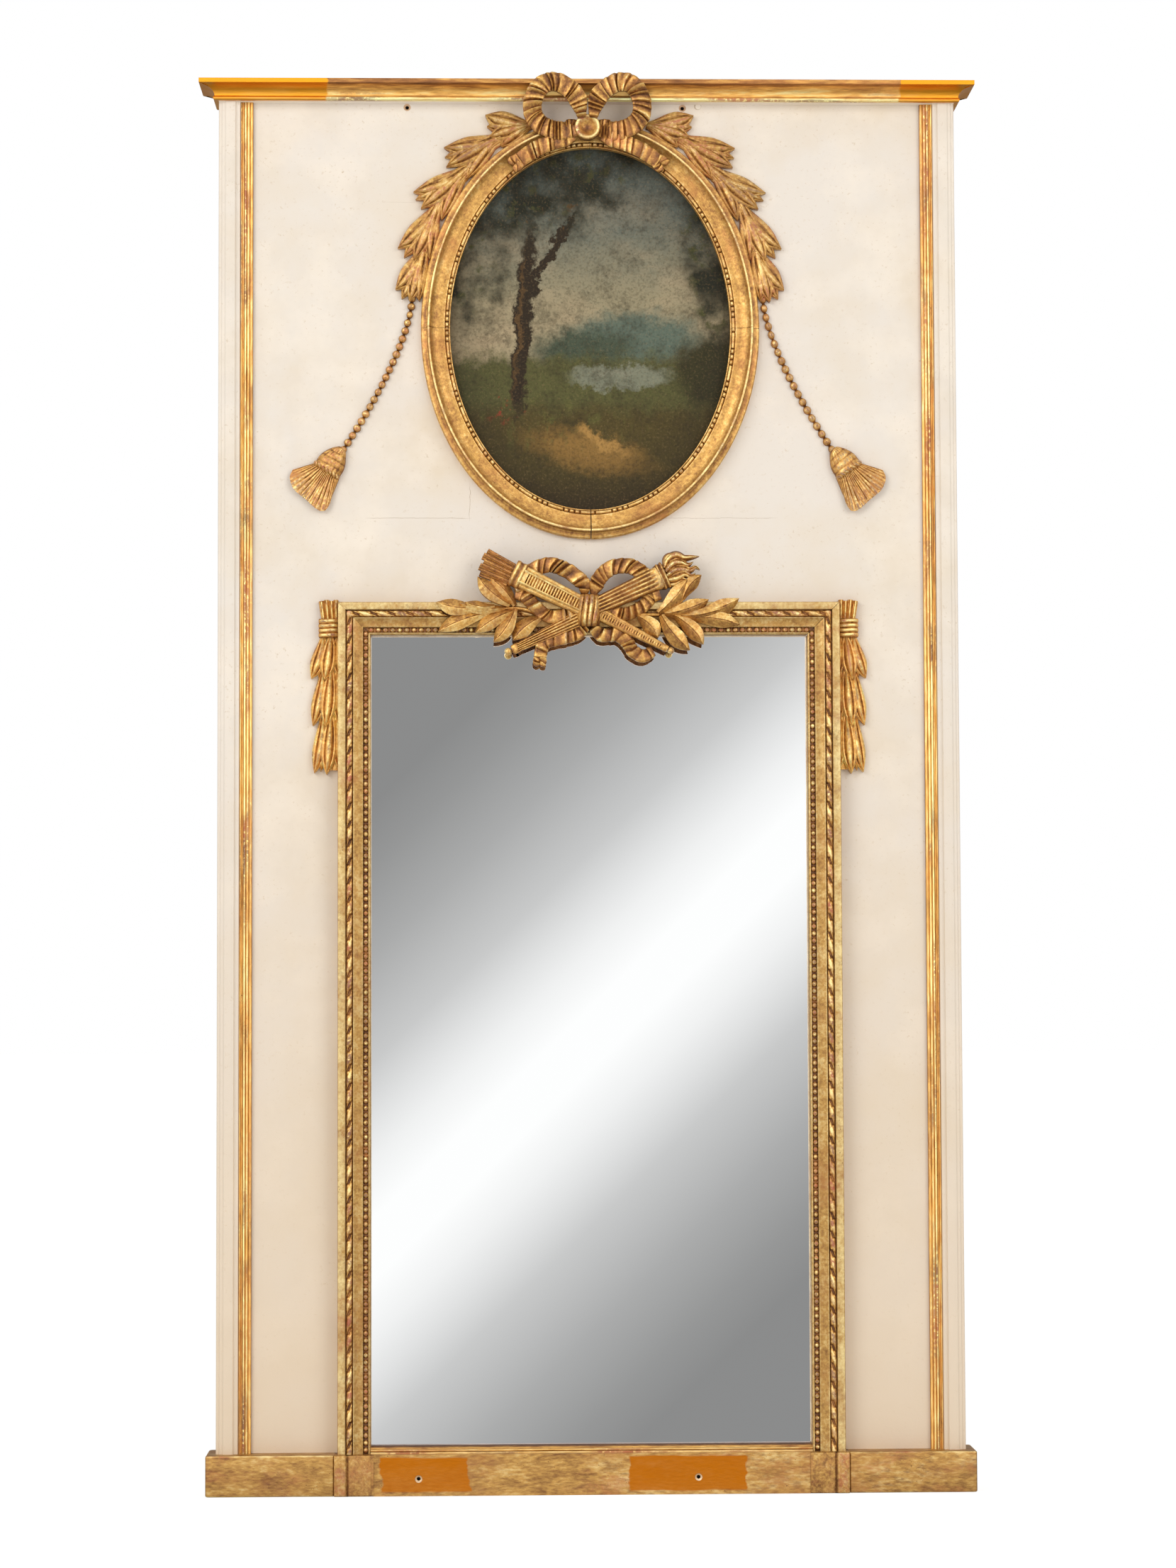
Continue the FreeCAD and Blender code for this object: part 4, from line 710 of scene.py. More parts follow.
def make_fillets(material):
    """Gilt fillets of five round reeds, worn to the bole along their crowns."""
    v = np.linspace(0, 1, 61)
    edges = np.array((0.0, 0.16, 0.30, 0.52, 0.76, 1.0))
    reed = np.clip(np.searchsorted(edges, v, side="right") - 1, 0, 4)
    part = (v - edges[reed]) / (edges[reed + 1] - edges[reed])
    tall = np.array((0.62, 0.45, 1.0, 0.8, 0.55))[reed]
    rise = 0.50 + 0.50 * tall * half_round(2 * part - 1) ** 0.8
    relief = np.concatenate(([0.1], np.clip(0.34 + 0.56 * (rise - 0.50) / 0.50, 0, 1), [0.1]))
    for side, sign in SIDES:
        node = f"gilt_fillet_{side}"
        wide, face, deep, ends, place = long_strip(node, sign)
        reeds = np.stack((v * wide, face + rise * deep), axis=1)
        outline = np.concatenate(([(0, face)], reeds, [(wide, face)]))
        skin = run_of(outline, ends, place, relief, count=60, seed=8 + sign)
        put(f"reeded_fillet_{side}", [skin], material, node)


def cornice_outline():
    """The cornice from its foot up: a bead, a deep hollow and a square top edge, as (level, reach) pairs."""
    foot = [(0, 0), (0.0, 5.0), (1.2, 6.3), (3.2, 6.8), (4.6, 6.2), (5.3, 5.2)]
    hollow = [(5.6 + 12.6 * math.sin(a), 5.0 + 17.2 * (1 - math.cos(a))) for a in np.linspace(0.05, 1.5, 10)]
    top = [(18.5, 22.6), (18.7, 24.0), (24.2, 24.0), (24.5, 23.4), (24.5, 0)]
    return np.array(foot + hollow + top)


def make_cornice(material):
    """The front of the cornice and its two returns, mitred at the corners."""
    outline = cornice_outline()
    level, reach = outline[:, 0], outline[:, 1]
    foot, wall = low("cornice_front")[2], high("cornice_front")[1]
    half = high("cornice_backing")[0]
    relief = 0.72 - 0.026 * (level - 6) - 0.45 * bump(level, 5.5, 0.9) - 0.25 * bump(level, 18.3, 0.7)
    relief = np.clip(relief + 0.10 * bump(level, 3.0, 1.2) + 0.10 * (level > 23), 0.05, 1)

    def front(across, out, along):
        return np.stack((along, wall - out, foot + across), axis=-1)

    skin = run_of(outline, (-half - reach, half + reach), front, relief, count=80, seed=5, unevenness=0.2)
    put("cornice_front_moulding", [skin], material, "cornice_front", sharp=32)
    for side, sign in SIDES:
        def around(across, out, along, sign=sign):
            return np.stack((sign * (half + out), along, foot + across), axis=-1)

        skin = run_of(outline, (0.0, wall - reach), around, relief, count=10, seed=6, unevenness=0.0)
        put(f"cornice_return_moulding_{side}", [skin], material, f"cornice_return_{side}", sharp=32)


def outer_edge(node, sign):
    """The edge of a node that lies further from the middle, as x."""
    return high(node)[0] if sign > 0 else low(node)[0]


def worn_levels(height, ease=2.2):
    """The rings of a board whose long edges are worn round, as (level, inset): a quarter turn at each end."""
    turns = [(ease * (1 - math.cos(a)), ease * (1 - math.sin(a))) for a in np.linspace(0, math.pi / 2, 4)]
    return turns + [(height - level, inset) for level, inset in turns[::-1]]


def make_plinth(material, block_material):
    """End sections that turn the corner, and the blocks under the mirror frame, with their edges worn."""
    for side, sign in SIDES:
        node = f"plinth_{side}"
        bottom, top = low(node), high(node)
        outer = outer_edge(node, sign)
        body = outer_edge(f"carcase_side_{side}", sign)
        block_edge = outer_edge(f"plinth_block_{side}", sign)
        plan = eased([(body, 0), (outer, 0), (outer, bottom[1]), (block_edge, bottom[1]), (block_edge, -FACE),
                      (body, -FACE)], 3.2, 5)
        levels = worn_levels(top[2] - bottom[2])
        rings, reliefs = [], []
        for level, inset in levels:
            ring = plan.copy()
            ring[ring[:, 1] < -FACE - 6, 1] += inset
            ring[np.abs(ring[:, 0] - outer) < 4, 0] -= sign * inset
            rings.append(np.column_stack((ring, np.full(len(ring), bottom[2] + level))))
            reliefs.append(np.full(len(ring), 0.9 if 0.02 < inset < 2.15 else 0.62))
        put(f"plinth_section_{side}", [(np.array(rings), np.array(reliefs))], material, node, sharp=35)
        node = f"plinth_block_{side}"
        bottom, top = low(node), high(node)
        v = np.linspace(0, 1, 45)
        v_out = v if sign < 0 else 1 - v
        roll = np.sqrt(np.clip(1 - ((v_out - 0.16) / 0.175) ** 6, 0, 1))
        front = np.where(v_out < 0.33, 0.89 + 0.08 * roll, 0.93 - 0.03 * bump(v_out, 0.97, 0.03))
        front = front - 0.05 * bump(v_out, 0.335, 0.03)
        plan = np.column_stack((bottom[0] + v * (top[0] - bottom[0]), top[1] - (top[1] - bottom[1]) * front))
        plan = np.concatenate((plan, [(top[0], top[1]), (bottom[0], top[1])]))
        relief = np.clip(0.55 - 0.26 * bump(v_out, 0.335, 0.04) + 0.14 * roll, 0, 1)
        rings = []
        for level, inset in levels:
            ring = plan.copy()
            ring[:-2, 1] += inset
            rings.append(np.column_stack((ring, np.full(len(ring), bottom[2] + level))))
        put(f"plinth_pedestal_{side}", [(np.array(rings), np.concatenate((relief, [0.2, 0.2])))],
            block_material, node, sharp=40)


def make_sight(material):
    """The small moulding that stands on the plinth under the plate: a bead under a hollow and a lip."""
    bottom, top = low("sight_moulding"), high("sight_moulding")
    deep, tall = top[1] - bottom[1], top[2] - bottom[2]
    angles = np.linspace(0, math.pi, 7)
    bead = [(0.27 + 0.17 * (1 - math.cos(a)) - 0.02, 0.80 + 0.13 * math.sin(a)) for a in angles]
    steps = [(0, 0), (0, 1.0), (0.22, 1.0), (0.24, 0.80)] + bead
    steps += [(0.62, 0.78), (0.80, 0.74), (1.0, 0.52), (1.0, 0)]
    outline = np.array([(level * tall, reach * deep) for level, reach in steps])
    relief = np.clip(0.4 + 0.5 * (outline[:, 1] / deep - 0.7) / 0.3, 0.1, 1)

    def along_foot(across, out, along):
        return np.stack((along, top[1] - out, bottom[2] + across), axis=-1)

    skin = run_of(outline, (bottom[0], top[0]), along_foot, relief, count=30, seed=12)
    put("sight_lip", [skin], material, "sight_moulding", sharp=35)


# Mirror frame ---------------------------------------------------------------------------------

# The frame's depth, and the channel of its ribbon and the seat of its pearls, as far in from its outer edge.
FRAME_DEEP = 24.0
CHANNEL = (10.0, 19.5)
PEARL_SEAT = (32.5, 38.9)


def frame_outline():
    """The mirror frame's section from its outer edge in: a flat fillet, a channel for the twisted ribbon, a
    shallow hollow between two soft arrises, a seat for the pearls and a fine lip at the sight edge."""
    deep, (near, far), (seat, lip) = FRAME_DEEP, CHANNEL, PEARL_SEAT
    corners = [(0, 0), (0, deep - 0.8), (0.8, deep), (9.2, deep), (near, deep - 0.9), (near, deep - 6),
               (far, deep - 6), (far, deep - 2.4)]
    corners += [tuple(point) for point in arc_points((20.2, deep - 1.6), (31.6, deep - 4.6), -0.9, 9)]
    corners += [(seat, deep - 5.4), (seat, deep - 9), (lip, deep - 9), (lip, deep - 6.6), (39.5, deep - 6),
                (41.2, deep - 6.8), (42, deep - 8), (42, 0)]
    return eased(corners, 0.35)


def stile_place(sign):
    """Places of an upright of the mirror frame, measured from its outer edge."""
    edge = high("mirror_frame_right")[0]
    return lambda across, reach, along: np.stack((sign * (edge - across), -(FACE + reach), along), axis=-1)


def rail_place(across, reach, along):
    """Places of the frame's top rail, measured down from its upper edge."""
    return np.stack((along, -(FACE + reach), high("mirror_frame_top")[2] - across), axis=-1)


def make_frame(material):
    """Two uprights and a top rail, mitred, with the joint at each mitre a hair open."""
    outline = frame_outline()
    across, reach = outline.T
    foot, top = low("mirror_frame_left")[2], high("mirror_frame_top")[2]
    half = high("mirror_frame_right")[0]
    relief = worn_relief(outline, 0)
    for (near, far), floor in ((CHANNEL, FRAME_DEEP - 5.5), ((32.4, 39), FRAME_DEEP - 8.5)):
        relief = np.where((across > near) & (across < far) & (reach < floor), 0.16, relief)
    for side, sign in SIDES:
        ends = (foot, top - across - (0.15 if sign < 0 else 0.35))
        skin = run_of(outline, ends, stile_place(sign), relief, count=60, seed=20 + sign)
        put(f"frame_upright_{side}", [skin], material, f"mirror_frame_{side}", sharp=35)
    ends = (-half + across + 0.15, half - across - 0.35)
    skin = run_of(outline, ends, rail_place, relief, count=50, seed=22)
    put("frame_head", [skin], material, "mirror_frame_top", sharp=35)


def twist_skin(start, end, place, pitch, seed):
    """The twisted ribbon in its channel.

    Across v from -1 to 1 and along s, a strand crosses the rod once in each pitch: its crest follows the
    phase s / pitch - v / 4. Between two strands lies a pointed hollow, a lozenge in the middle of each pitch.
    """
    count = int(abs(end - start) / 1.1)
    s = np.linspace(0, abs(end - start), count)[:, None]
    v = np.linspace(-1, 1, 13)[None, :]
    phase = s / pitch + wander(count, seed, 0.04)[:, None] - 0.24 * v
    strand = np.abs(np.cos(np.pi * phase))
    near = np.abs(phase % 1.0 - 0.5) / 0.24
    lozenge = np.clip(2.6 * np.clip(1 - near - 0.95 * np.abs(v), 0, 1), 0, 1)
    seam = bump(near, 1.0, 0.22) * (1 - 0.3 * np.abs(v))
    rod = np.sqrt(np.clip(1 - v ** 2 * 0.94, 0, 1))
    rise = 18 + 4.7 * rod * (0.72 + 0.28 * strand) - 2.3 * lozenge - 0.9 * seam * rod
    relief = np.clip(0.38 + 0.55 * rod * (0.55 + 0.45 * strand) - 0.60 * lozenge - 0.28 * seam, 0.1, 1)
    across = sum(CHANNEL) / 2 + 4.25 * v * (0.9 + 0.1 * strand)
    along = np.broadcast_to(start + np.sign(end - start) * s, across.shape)
    return closed_strip(across, rise, along, relief, place, 17.9)


def closed_strip(across, rise, along, relief, place, back):
    """A strip of relief work closed by a flat back."""
    return place(closed(across), closed(rise, back), closed(along)), closed(relief, 0.05)


def pearl_skin(start, end, place, pitch, seed):
    """A row of pearls on their seat: half balls, flattened a little, each a pitch from the next."""
    steps = max(int(abs(end - start) / pitch + 0.5), 1)
    count = steps * 9 + 1
    s = np.linspace(0, steps, count)[:, None]
    v = np.linspace(-1, 1, 11)[None, :]
    number = np.clip(s.astype(int), 0, steps - 1)
    rng = np.random.default_rng(seed)
    wide = 1 + 0.06 * rng.standard_normal(steps)[number]
    part = (s % 1.0 - 0.5) * pitch / (3.35 * wide)
    ball = np.sqrt(np.clip(1 - part ** 2 - (0.93 * v) ** 2, 0, 1))
    rise = 15.1 + 3.9 * ball * wide
    relief = np.clip(0.04 + 0.86 * ball ** 0.8, 0, 1)
    across = sum(PEARL_SEAT) / 2 + 3.0 * v + 0 * s
    along = np.broadcast_to(start + (end - start) * s / steps, across.shape)
    return closed_strip(across, rise, along, relief, place, 14.9)


def make_frame_trim(twist_material, pearl_material):
    """The ribbon in its channel and the pearls at the sight edge, on the uprights and on the top rail."""
    foot = low("mirror_frame_left")[2]
    top = high("mirror_frame_top")[2]
    half = high("mirror_frame_right")[0]
    pitch, pearl = size_of("twist_pitch"), size_of("pearl_pitch")
    for side, sign in SIDES:
        skin = twist_skin(foot + 0.2, top - 11.5, stile_place(sign), pitch, 30 + sign)
        put(f"twisted_ribbon_{side}", [skin], twist_material, f"ribbon_twist_{side}")
        skin = pearl_skin(foot + 0.2, top - 36, stile_place(sign), pearl, 40 + sign)
        put(f"pearls_{side}", [skin], pearl_material, f"pearl_row_{side}", sharp=75)
    skin = twist_skin(-half + 11.5, half - 11.5, rail_place, pitch * 0.97, 33)
    put("twisted_ribbon_top", [skin], twist_material, "ribbon_twist_top")
    skin = pearl_skin(-half + 38, half - 38, rail_place, pearl, 43)
    put("pearls_top", [skin], pearl_material, "pearl_row_top", sharp=75)


# Oval frame -----------------------------------------------------------------------------------

# The oval's middle, as (x, z), and the half width and half height of its sight edge.
OVAL_MIDDLE = (3.0, 1498.5)
OVAL_HALF = (182.0, 237.0)


def oval_place(across, rise, angle):
    """A place on the oval moulding: on the ellipse that lies across outside the sight edge."""
    x = OVAL_MIDDLE[0] + (OVAL_HALF[0] + across) * np.sin(angle)
    z = OVAL_MIDDLE[1] + (OVAL_HALF[1] + across) * np.cos(angle)
    return np.stack((x, -(FACE + rise) + 0 * x, z), axis=-1)


def ring_outline():
    """The oval moulding from its sight edge out: a rim, a seat for the beads, a quirk, a broad hollow that
    climbs to a soft crest, a step down and an outer flat."""
    seat, start, crest, outer = 10.2, 8.2, 26.2, 29.2
    hollow = [(start + (crest - start) * math.sin(a), seat + 1.2 + 10.4 * (1 - math.cos(a)))
              for a in np.linspace(0.05, 1.5, 10)]
    corners = [(0, 0), (0, seat - 0.4), (0.5, seat), (1.5, seat), (1.5, seat - 1.6), (6.6, seat - 1.6),
               (6.6, seat + 0.4), (7.4, seat + 1.0)]
    corners += hollow
    corners += [(crest + 0.9, 22), (outer - 0.3, 21.8), (outer, 20.8), (outer, 12.2), (outer + 0.9, 11.2),
                (outer + 2.2, 10.4), (36.6, 9.2), (38, 7.8), (38, 0)]
    return eased(corners, 0.4)


def bead_and_reel(angles, run):
    """The turned row on its seat: three beads and a long reel in each repeat, along the arc length run."""
    pitch = size_of("reel_pitch")
    part = (run / pitch) % 1.0
    bead_share = 0.50
    bead = (part / (bead_share / 3)) % 1.0
    beads = half_round((bead - 0.5) / 0.46) * (part < bead_share)
    reel = (part - bead_share) / (1 - bead_share)
    reels = np.clip(np.minimum(reel, 1 - reel) * 16, 0, 1) ** 0.5 * (part >= bead_share) * 0.86
    profile = np.maximum(beads, reels)[:, None]
    v = np.linspace(-1, 1, 9)[None, :]
    rod = half_round(v, 0.96)
    rise = 8.5 + 4.6 * rod * (0.12 + 0.88 * profile)
    relief = np.clip(0.08 + 0.80 * rod * profile, 0, 1)
    across = 4.05 + 2.45 * v + 0 * rise
    angle = np.broadcast_to(angles[:, None], across.shape)
    return closed_strip(across, rise, angle, relief, oval_place, 8.2)


def make_oval(material):
    """Four sections of the oval frame, a hair apart where they meet, with their bead and reel."""
    outline = ring_outline()
    across, rise = outline.T
    relief = worn_relief(outline, 2)
    relief = np.where((across > 1.4) & (across < 6.7) & (rise < 9.5), 0.05, relief)
    gaps = (0.0013, 0.0009, 0.0030, 0.0009)
    for turn, quarter in enumerate(("upper_right", "lower_right", "lower_left", "upper_left")):
        start = turn * math.pi / 2 + gaps[turn]
        end = (turn + 1) * math.pi / 2 - gaps[(turn + 1) % 4]
        skin = oval_place(across, rise, np.linspace(start, end, 140)[:, None])
        fine = np.linspace(start, end, 900)
        steps = np.linalg.norm(np.diff(oval_place(4.0, 0.0, fine), axis=0), axis=1)
        run = np.concatenate(([0], np.cumsum(steps))) + 13.0 * turn + 4
        put(f"oval_section_{quarter}", [(skin, relief), bead_and_reel(fine, run)], material,
            f"oval_frame_{quarter}", sharp=38)


# Ribbons --------------------------------------------------------------------------------------

def pleated(points, reach, wide, tall, pleats, seed, lean=0.25, lift=0.0, narrow=(1.0, 1.0), scallop=0.07):
    """A ribbon pushed into pleats across its width, carved on a path through points (x, z).

    The pleats are uneven. Each climbs to its fold close to one end and falls away to the other, so that flat
    facets meet in crisp folds, and every fold is a row of the skin. The folds push the outer edge out and
    lean along the ribbon across its width. narrow gives the width's share at each end.
    """
    rng = np.random.default_rng(seed)
    edges = np.concatenate(([0], np.cumsum(rng.uniform(0.45, 1.5, pleats))))
    edges = edges / edges[-1]
    folds = edges[:-1] + np.diff(edges) * np.where(rng.random(pleats) < 0.5, 0.22, 0.74)
    knots = np.sort(np.concatenate((edges, folds)))
    number = np.arange(len(knots))
    levels = np.where(number % 2, rng.uniform(0.6, 1.0, len(knots)), rng.uniform(0, 0.28, len(knots)))
    row = np.interp(np.arange(4 * len(knots) - 3) / 4, number, knots)[:, None]
    crest = np.interp(row, knots, levels)
    v = np.linspace(-1, 1, 17)[None, :]
    turn = row + lean / pleats * closed(v) * 4 * row * (1 - row)
    place = np.linspace(0, 1, 240)
    path = smooth_path(on_plane(points, 0), 240)
    across = square_to(path)
    reach = np.atleast_1d(reach).astype(float)
    path[:, 1] = -np.interp(place, np.linspace(0, 1, len(reach)), reach)
    path, across = (np.stack([np.interp(turn, place, part[:, axis]) for axis in range(3)], axis=-1)
                    for part in (path, across))
    share = np.interp(row, (0, 0.12, 0.88, 1), (narrow[0], 1, 1, narrow[1]))
    vault = 0.72 + 0.28 * np.clip(1 - np.abs(v) ** 3, 0, 1) ** 0.5
    depth = 0.46 + 0.08 * v
    rise = lift + tall * vault * (1 - depth + depth * crest)
    half = wide / 2 * share * (1 + scallop * (crest - 0.4))
    relief = np.clip(0.08 + 0.80 * crest ** 1.4 + 0.12 * np.clip((np.abs(v) - 0.8) * 5, 0, 1), 0, 1)
    return carved(path, half * v, rise, relief, across=across)


def forked_end(start, towards, reach, wide, tall):
    """The forked end of a ribbon: two short flaps side by side that curl as they narrow."""
    start, towards = np.asarray(start, float), np.asarray(towards, float)
    way = (towards - start) / np.linalg.norm(towards - start)
    side = np.array((-way[1], way[0]))
    return [pleated((start + side * sign * wide * 0.14, (start + towards) / 2 + side * sign * wide * 0.27,
                     towards + side * sign * wide * 0.18), reach, wide * 0.5, tall, 2, 5 + sign, lift=0.6,
                    narrow=(1.0, 0.3)) for sign in (-1, 1)]


# The middle line of the bow's left loop, as (x, z), and how far each point stands out from the wall.
LOOP = ((-8, 1768), (-9.5, 1779), (-13, 1791.5), (-20, 1801.5), (-28.7, 1808.5), (-38.5, 1813.6),
        (-49.2, 1814.6), (-59, 1811), (-66.4, 1803.1), (-70.8, 1793), (-71.8, 1782.4), (-69.6, 1773),
        (-63.9, 1765.2), (-56, 1759.4), (-46, 1755.6), (-33, 1753.6), (-20, 1753.4), (-10, 1754.4))
LOOP_REACH = (74, 74, 74, 75, 75, 75, 74, 72, 68, 64, 61, 59.5, 58.5, 58.5, 58.5, 58.5, 59, 60)
# The button as a turned dish: radius, rise and relief from its middle out, as shares.
DISH = ((0.02, 0.50, 0.10), (0.10, 0.51, 0.16), (0.2, 0.54, 0.30), (0.34, 0.60, 0.42), (0.48, 0.69, 0.55),
        (0.60, 0.80, 0.66), (0.69, 0.90, 0.8), (0.76, 0.965, 0.92), (0.83, 1.0, 1.0), (0.90, 0.985, 0.95),
        (0.95, 0.93, 0.8), (0.985, 0.83, 0.6), (1.0, 0.70, 0.45), (0.985, 0.55, 0.3), (0.95, 0.3, 0.15),
        (0.93, 0.0, 0.1))


def on_side(points, sign, middle=0.0):
    """Points (x, z) drawn for the left, as an array, turned over the line x = middle for the right."""
    points = np.array(points, float)
    if sign > 0:
        points[:, 0] = 2 * middle - points[:, 0]
    return points


def make_bow(material):
    """The bow: two pleated loops, gathered ends beside the button, two forked tails and the dished button."""
    wide, tall = size_of("ribbon"), size_of("ribbon_high")
    pleats = bpy.context.scene.trumeau_sizes.pleats
    tails = []
    for side, sign in SIDES:
        loop = pleated(on_side(LOOP, sign, -0.4), LOOP_REACH, wide, tall, pleats, 50 + sign,
                       narrow=(0.42, 0.5), lean=0.5 * sign)
        put(f"bow_ribbon_{side}", [loop], material, f"bow_loop_{side}", sharp=38)
        tail = on_side(((-17, 1746), (-34, 1742.5), (-50, 1737.5), (-66, 1730.5), (-82, 1720.5), (-92, 1713)),
                       sign, 0.5)
        inner = on_side(((-12, 1762), (-20, 1763.8), (-29, 1763)), sign, 0.5)
        tails.append(pleated(tail, (58.2, 57.4, 57.4, 57, 56.5, 56), wide * 0.84, tall * 0.85, 9, 60 + sign,
                             narrow=(0.5, 0.95), lean=-0.3 * sign, scallop=0.1))
        tails.append(pleated(inner, 60.5, wide * 0.44, tall * 0.62, 4, 63 + sign, narrow=(0.7, 0.5)))
        end = tail[-1]
        ahead = (end - tail[-2]) / np.linalg.norm(end - tail[-2])
        tails += forked_end(end - ahead * 5, end + ahead * 9, 56, wide * 0.9, tall * 0.72)
    put("bow_ribbon_ends", tails, material, "bow_tails", sharp=38)
    radius, rise, relief = np.array(DISH).T[:, :, None]
    angle = np.linspace(0, 2 * np.pi, 49)[:-1]
    dish = np.stack((-0.4 + 16.9 * radius * np.cos(angle), -(58 + 16.5 * rise) + 0 * angle,
                     1757.2 + 16.9 * radius * np.sin(angle)), axis=-1)
    put("bow_dished_button", [(dish, relief)], material, "bow_button")


# Garlands and drops ---------------------------------------------------------------------------

# The left garland's bunches: each one's root, and the (x, z, bend) of its leaves' tips.
CLUSTERS = (
    ((-72, 1767), ((-133, 1779, 4), (-131, 1764, 1), (-112, 1737, -3), (-127, 1750, -1))),
    ((-112, 1751), ((-187, 1736, 6), (-186, 1723, 2), (-157, 1694, -5), (-184, 1710, -1))),
    ((-154, 1711), ((-227, 1677, 7), (-224, 1667, 3), (-190, 1640, -5), (-217, 1655, 0))),
    ((-195, 1661), ((-247, 1603, 6), (-239, 1591, 2), (-205, 1588, -4), (-226, 1587, 0))),
    ((-213, 1603), ((-250, 1549, 5), (-242, 1537, 2), (-219, 1534, -3), (-231, 1533, 0))),
)


def stalk(points, reach, rows, half, tall, relief):
    """A thin round stalk on a path."""
    _, v = spans(rows, 7)
    rod = half_round(v, 0.97)
    return carved(smooth_path(on_plane(points, reach), rows), half * v, tall * rod, relief * rod)


def make_garlands(material):
    """Two garlands of laurel husks: five bunches of grooved leaves, each from under the last."""
    wide, tall = size_of("leaf_wide"), size_of("leaf_high")
    for side, sign in SIDES:
        skins = []
        for number, (base, tips) in enumerate(CLUSTERS):
            for (x, z, bend), share, lift in zip(tips, (1.15, 1.0, 0.92, 1.05), (0.6, -0.6, 0.4, 1.6)):
                tip = np.array((x, z), float)
                start = base + (base - tip) * 0.16 * (number > 0)
                start, tip = on_side((start, tip), sign, OVAL_MIDDLE[0])
                skins.append(husk(start, tip, wide * share, tall - 2, FACE, bend=-sign * bend, lift=lift,
                                  tilt=3.5))
        stem = on_side([base for base, tips in CLUSTERS] + [(-222, 1548)], sign, OVAL_MIDDLE[0])
        skins.append(stalk(stem, FACE, 40, 5.5, 7.0, 0.35))
        put(f"garland_{side}", skins, material, f"leaf_garland_{side}", sharp=70)


def string_points(sign):
    """The path of a hanging string, as the curve x = 228.5 + 0.0409 drop^1.457 out from the centre line."""
    drop = np.linspace(-8, 200, 60)
    x = sign * (228.5 + 0.0409 * np.clip(drop, 0, None) ** 1.457)
    return np.stack((x, 1536 - drop), axis=1)


def bead_skin(sign, count, size):
    """Faceted round beads on a string: half balls with a ring of small flats, seated in a narrow neck."""
    path = smooth_path(on_plane(string_points(sign), FACE), count * 9 + 1)
    steps = np.linspace(0, count, len(path))
    v = np.linspace(-1, 1, 13)[None, :]
    part = ((steps % 1.0) - 0.5)[:, None] * 2.16
    number = np.clip(steps.astype(int), 0, count - 1)
    wide = (1 + 0.05 * np.random.default_rng(7 + sign).standard_normal(count))[number][:, None]
    ball = np.sqrt(np.clip(1 - part ** 2, 0.03, 1))
    half = size / 2 * wide * np.maximum(ball, 0.30)
    dome = half_round(v, 0.96)
    facets = 0.05 * np.cos(3 * np.pi * v) * (np.abs(part) < 0.85)
    rise = 1.4 + (size * 0.62) * wide * ball * np.clip(dome + facets * dome, 0, 1)
    relief = np.clip(0.02 + 0.80 * ball ** 1.5 * (0.30 + 0.70 * dome) + facets * 2.0, 0, 1)
    return carved(path, half * v, rise, relief)


def tassel_skins(sign):
    """A tassel that hangs askew: a hatched cap, a collar of twisted strands and a full fluted skirt."""
    def line(points, count):
        return smooth_path(on_plane(on_side(points, sign), FACE), count)

    t, v = spans(34, 21)
    cap = line(((-318.5, 1341), (-325, 1333), (-333, 1322), (-338, 1314.5)), 34)
    half = 5.5 + 12.8 * np.sin(np.pi / 2 * np.clip(t * 1.25, 0, 1)) ** 0.9
    dome = half_round(v, 0.97)
    mesh_lines = lobes(3.6 * t + 0.15 * v, 0.5) * lobes(3.5 * (v + 0.08 + 0.1 * t), 0.4)
    rise = 3 + (10.5 + 3 * t) * dome * (0.88 + 0.12 * mesh_lines)
    skins = [carved(cap, half * v, rise, np.clip(0.12 + 0.72 * mesh_lines * (0.4 + 0.6 * dome), 0, 1))]
    t, v = spans(60, 21)
    collar = line(((-355, 1324.5), (-346, 1318.5), (-335, 1311.5), (-323, 1302.5)), 60)
    strands = lobes(7 * t + 0.55 * v, 0.7)
    rod = half_round(v, 0.96)
    ends = np.sqrt(np.clip(1 - (2 * t - 1) ** 6, 0.1, 1))
    rise = 4 + ends * rod * (9.5 + 2.0 * strands)
    skins.append(carved(collar, (5.0 * ends) * v, rise, np.clip(0.10 + 0.80 * strands * rod, 0, 1)))
    t, u = spans(30, 97)
    top = line(((-354, 1323), (-339, 1314), (-323, 1302)), 97)
    hem = line(((-383, 1314), (-386.5, 1303), (-381, 1288), (-366, 1275), (-352, 1262.5), (-342, 1260),
                (-335.5, 1268), (-331, 1282)), 97)
    flutes = lobes(9.5 * u + 0.5 * np.sin(5.3 * u) + 0.25 * t * np.sin(9 * u), 0.6)
    body = half_round(u, 0.95)
    rise = 2.0 + (9.5 - 2.5 * t) * body * (0.80 + 0.20 * flutes) - 2.2 * bump(u, -0.12, 0.09) * t
    relief = np.clip(0.06 + 0.82 * flutes * (0.45 + 0.55 * body) * (0.75 + 0.25 * t), 0, 1)
    skirt = closed(top + (hem - top) * t[..., None])
    skins.append(carved(skirt, 0 * u, rise, relief, across=0 * skirt))
    return skins


def make_drops(material):
    """Strings of beads that end in tassels."""
    size = size_of("bead")
    for side, sign in SIDES:
        skins = [bead_skin(sign, 21 if sign < 0 else 19, size)] + tassel_skins(sign)
        put(f"bead_string_{side}", skins, material, f"tassel_drop_{side}", sharp=75)


# Trophy ---------------------------------------------------------------------------------------

def tapered(start, end, wide, tall, reach, rows, columns=25):
    """The grid of a shaft between two places: t along it and v across it, its path, half width and height."""
    t, v = spans(rows, columns)
    ends = on_plane([start, end], reach)
    half, height = (first + (last - first) * t for first, last in (np.array(wide) / 2, tall))
    return t, v, ends[0] + (ends[1] - ends[0]) * t, half, height


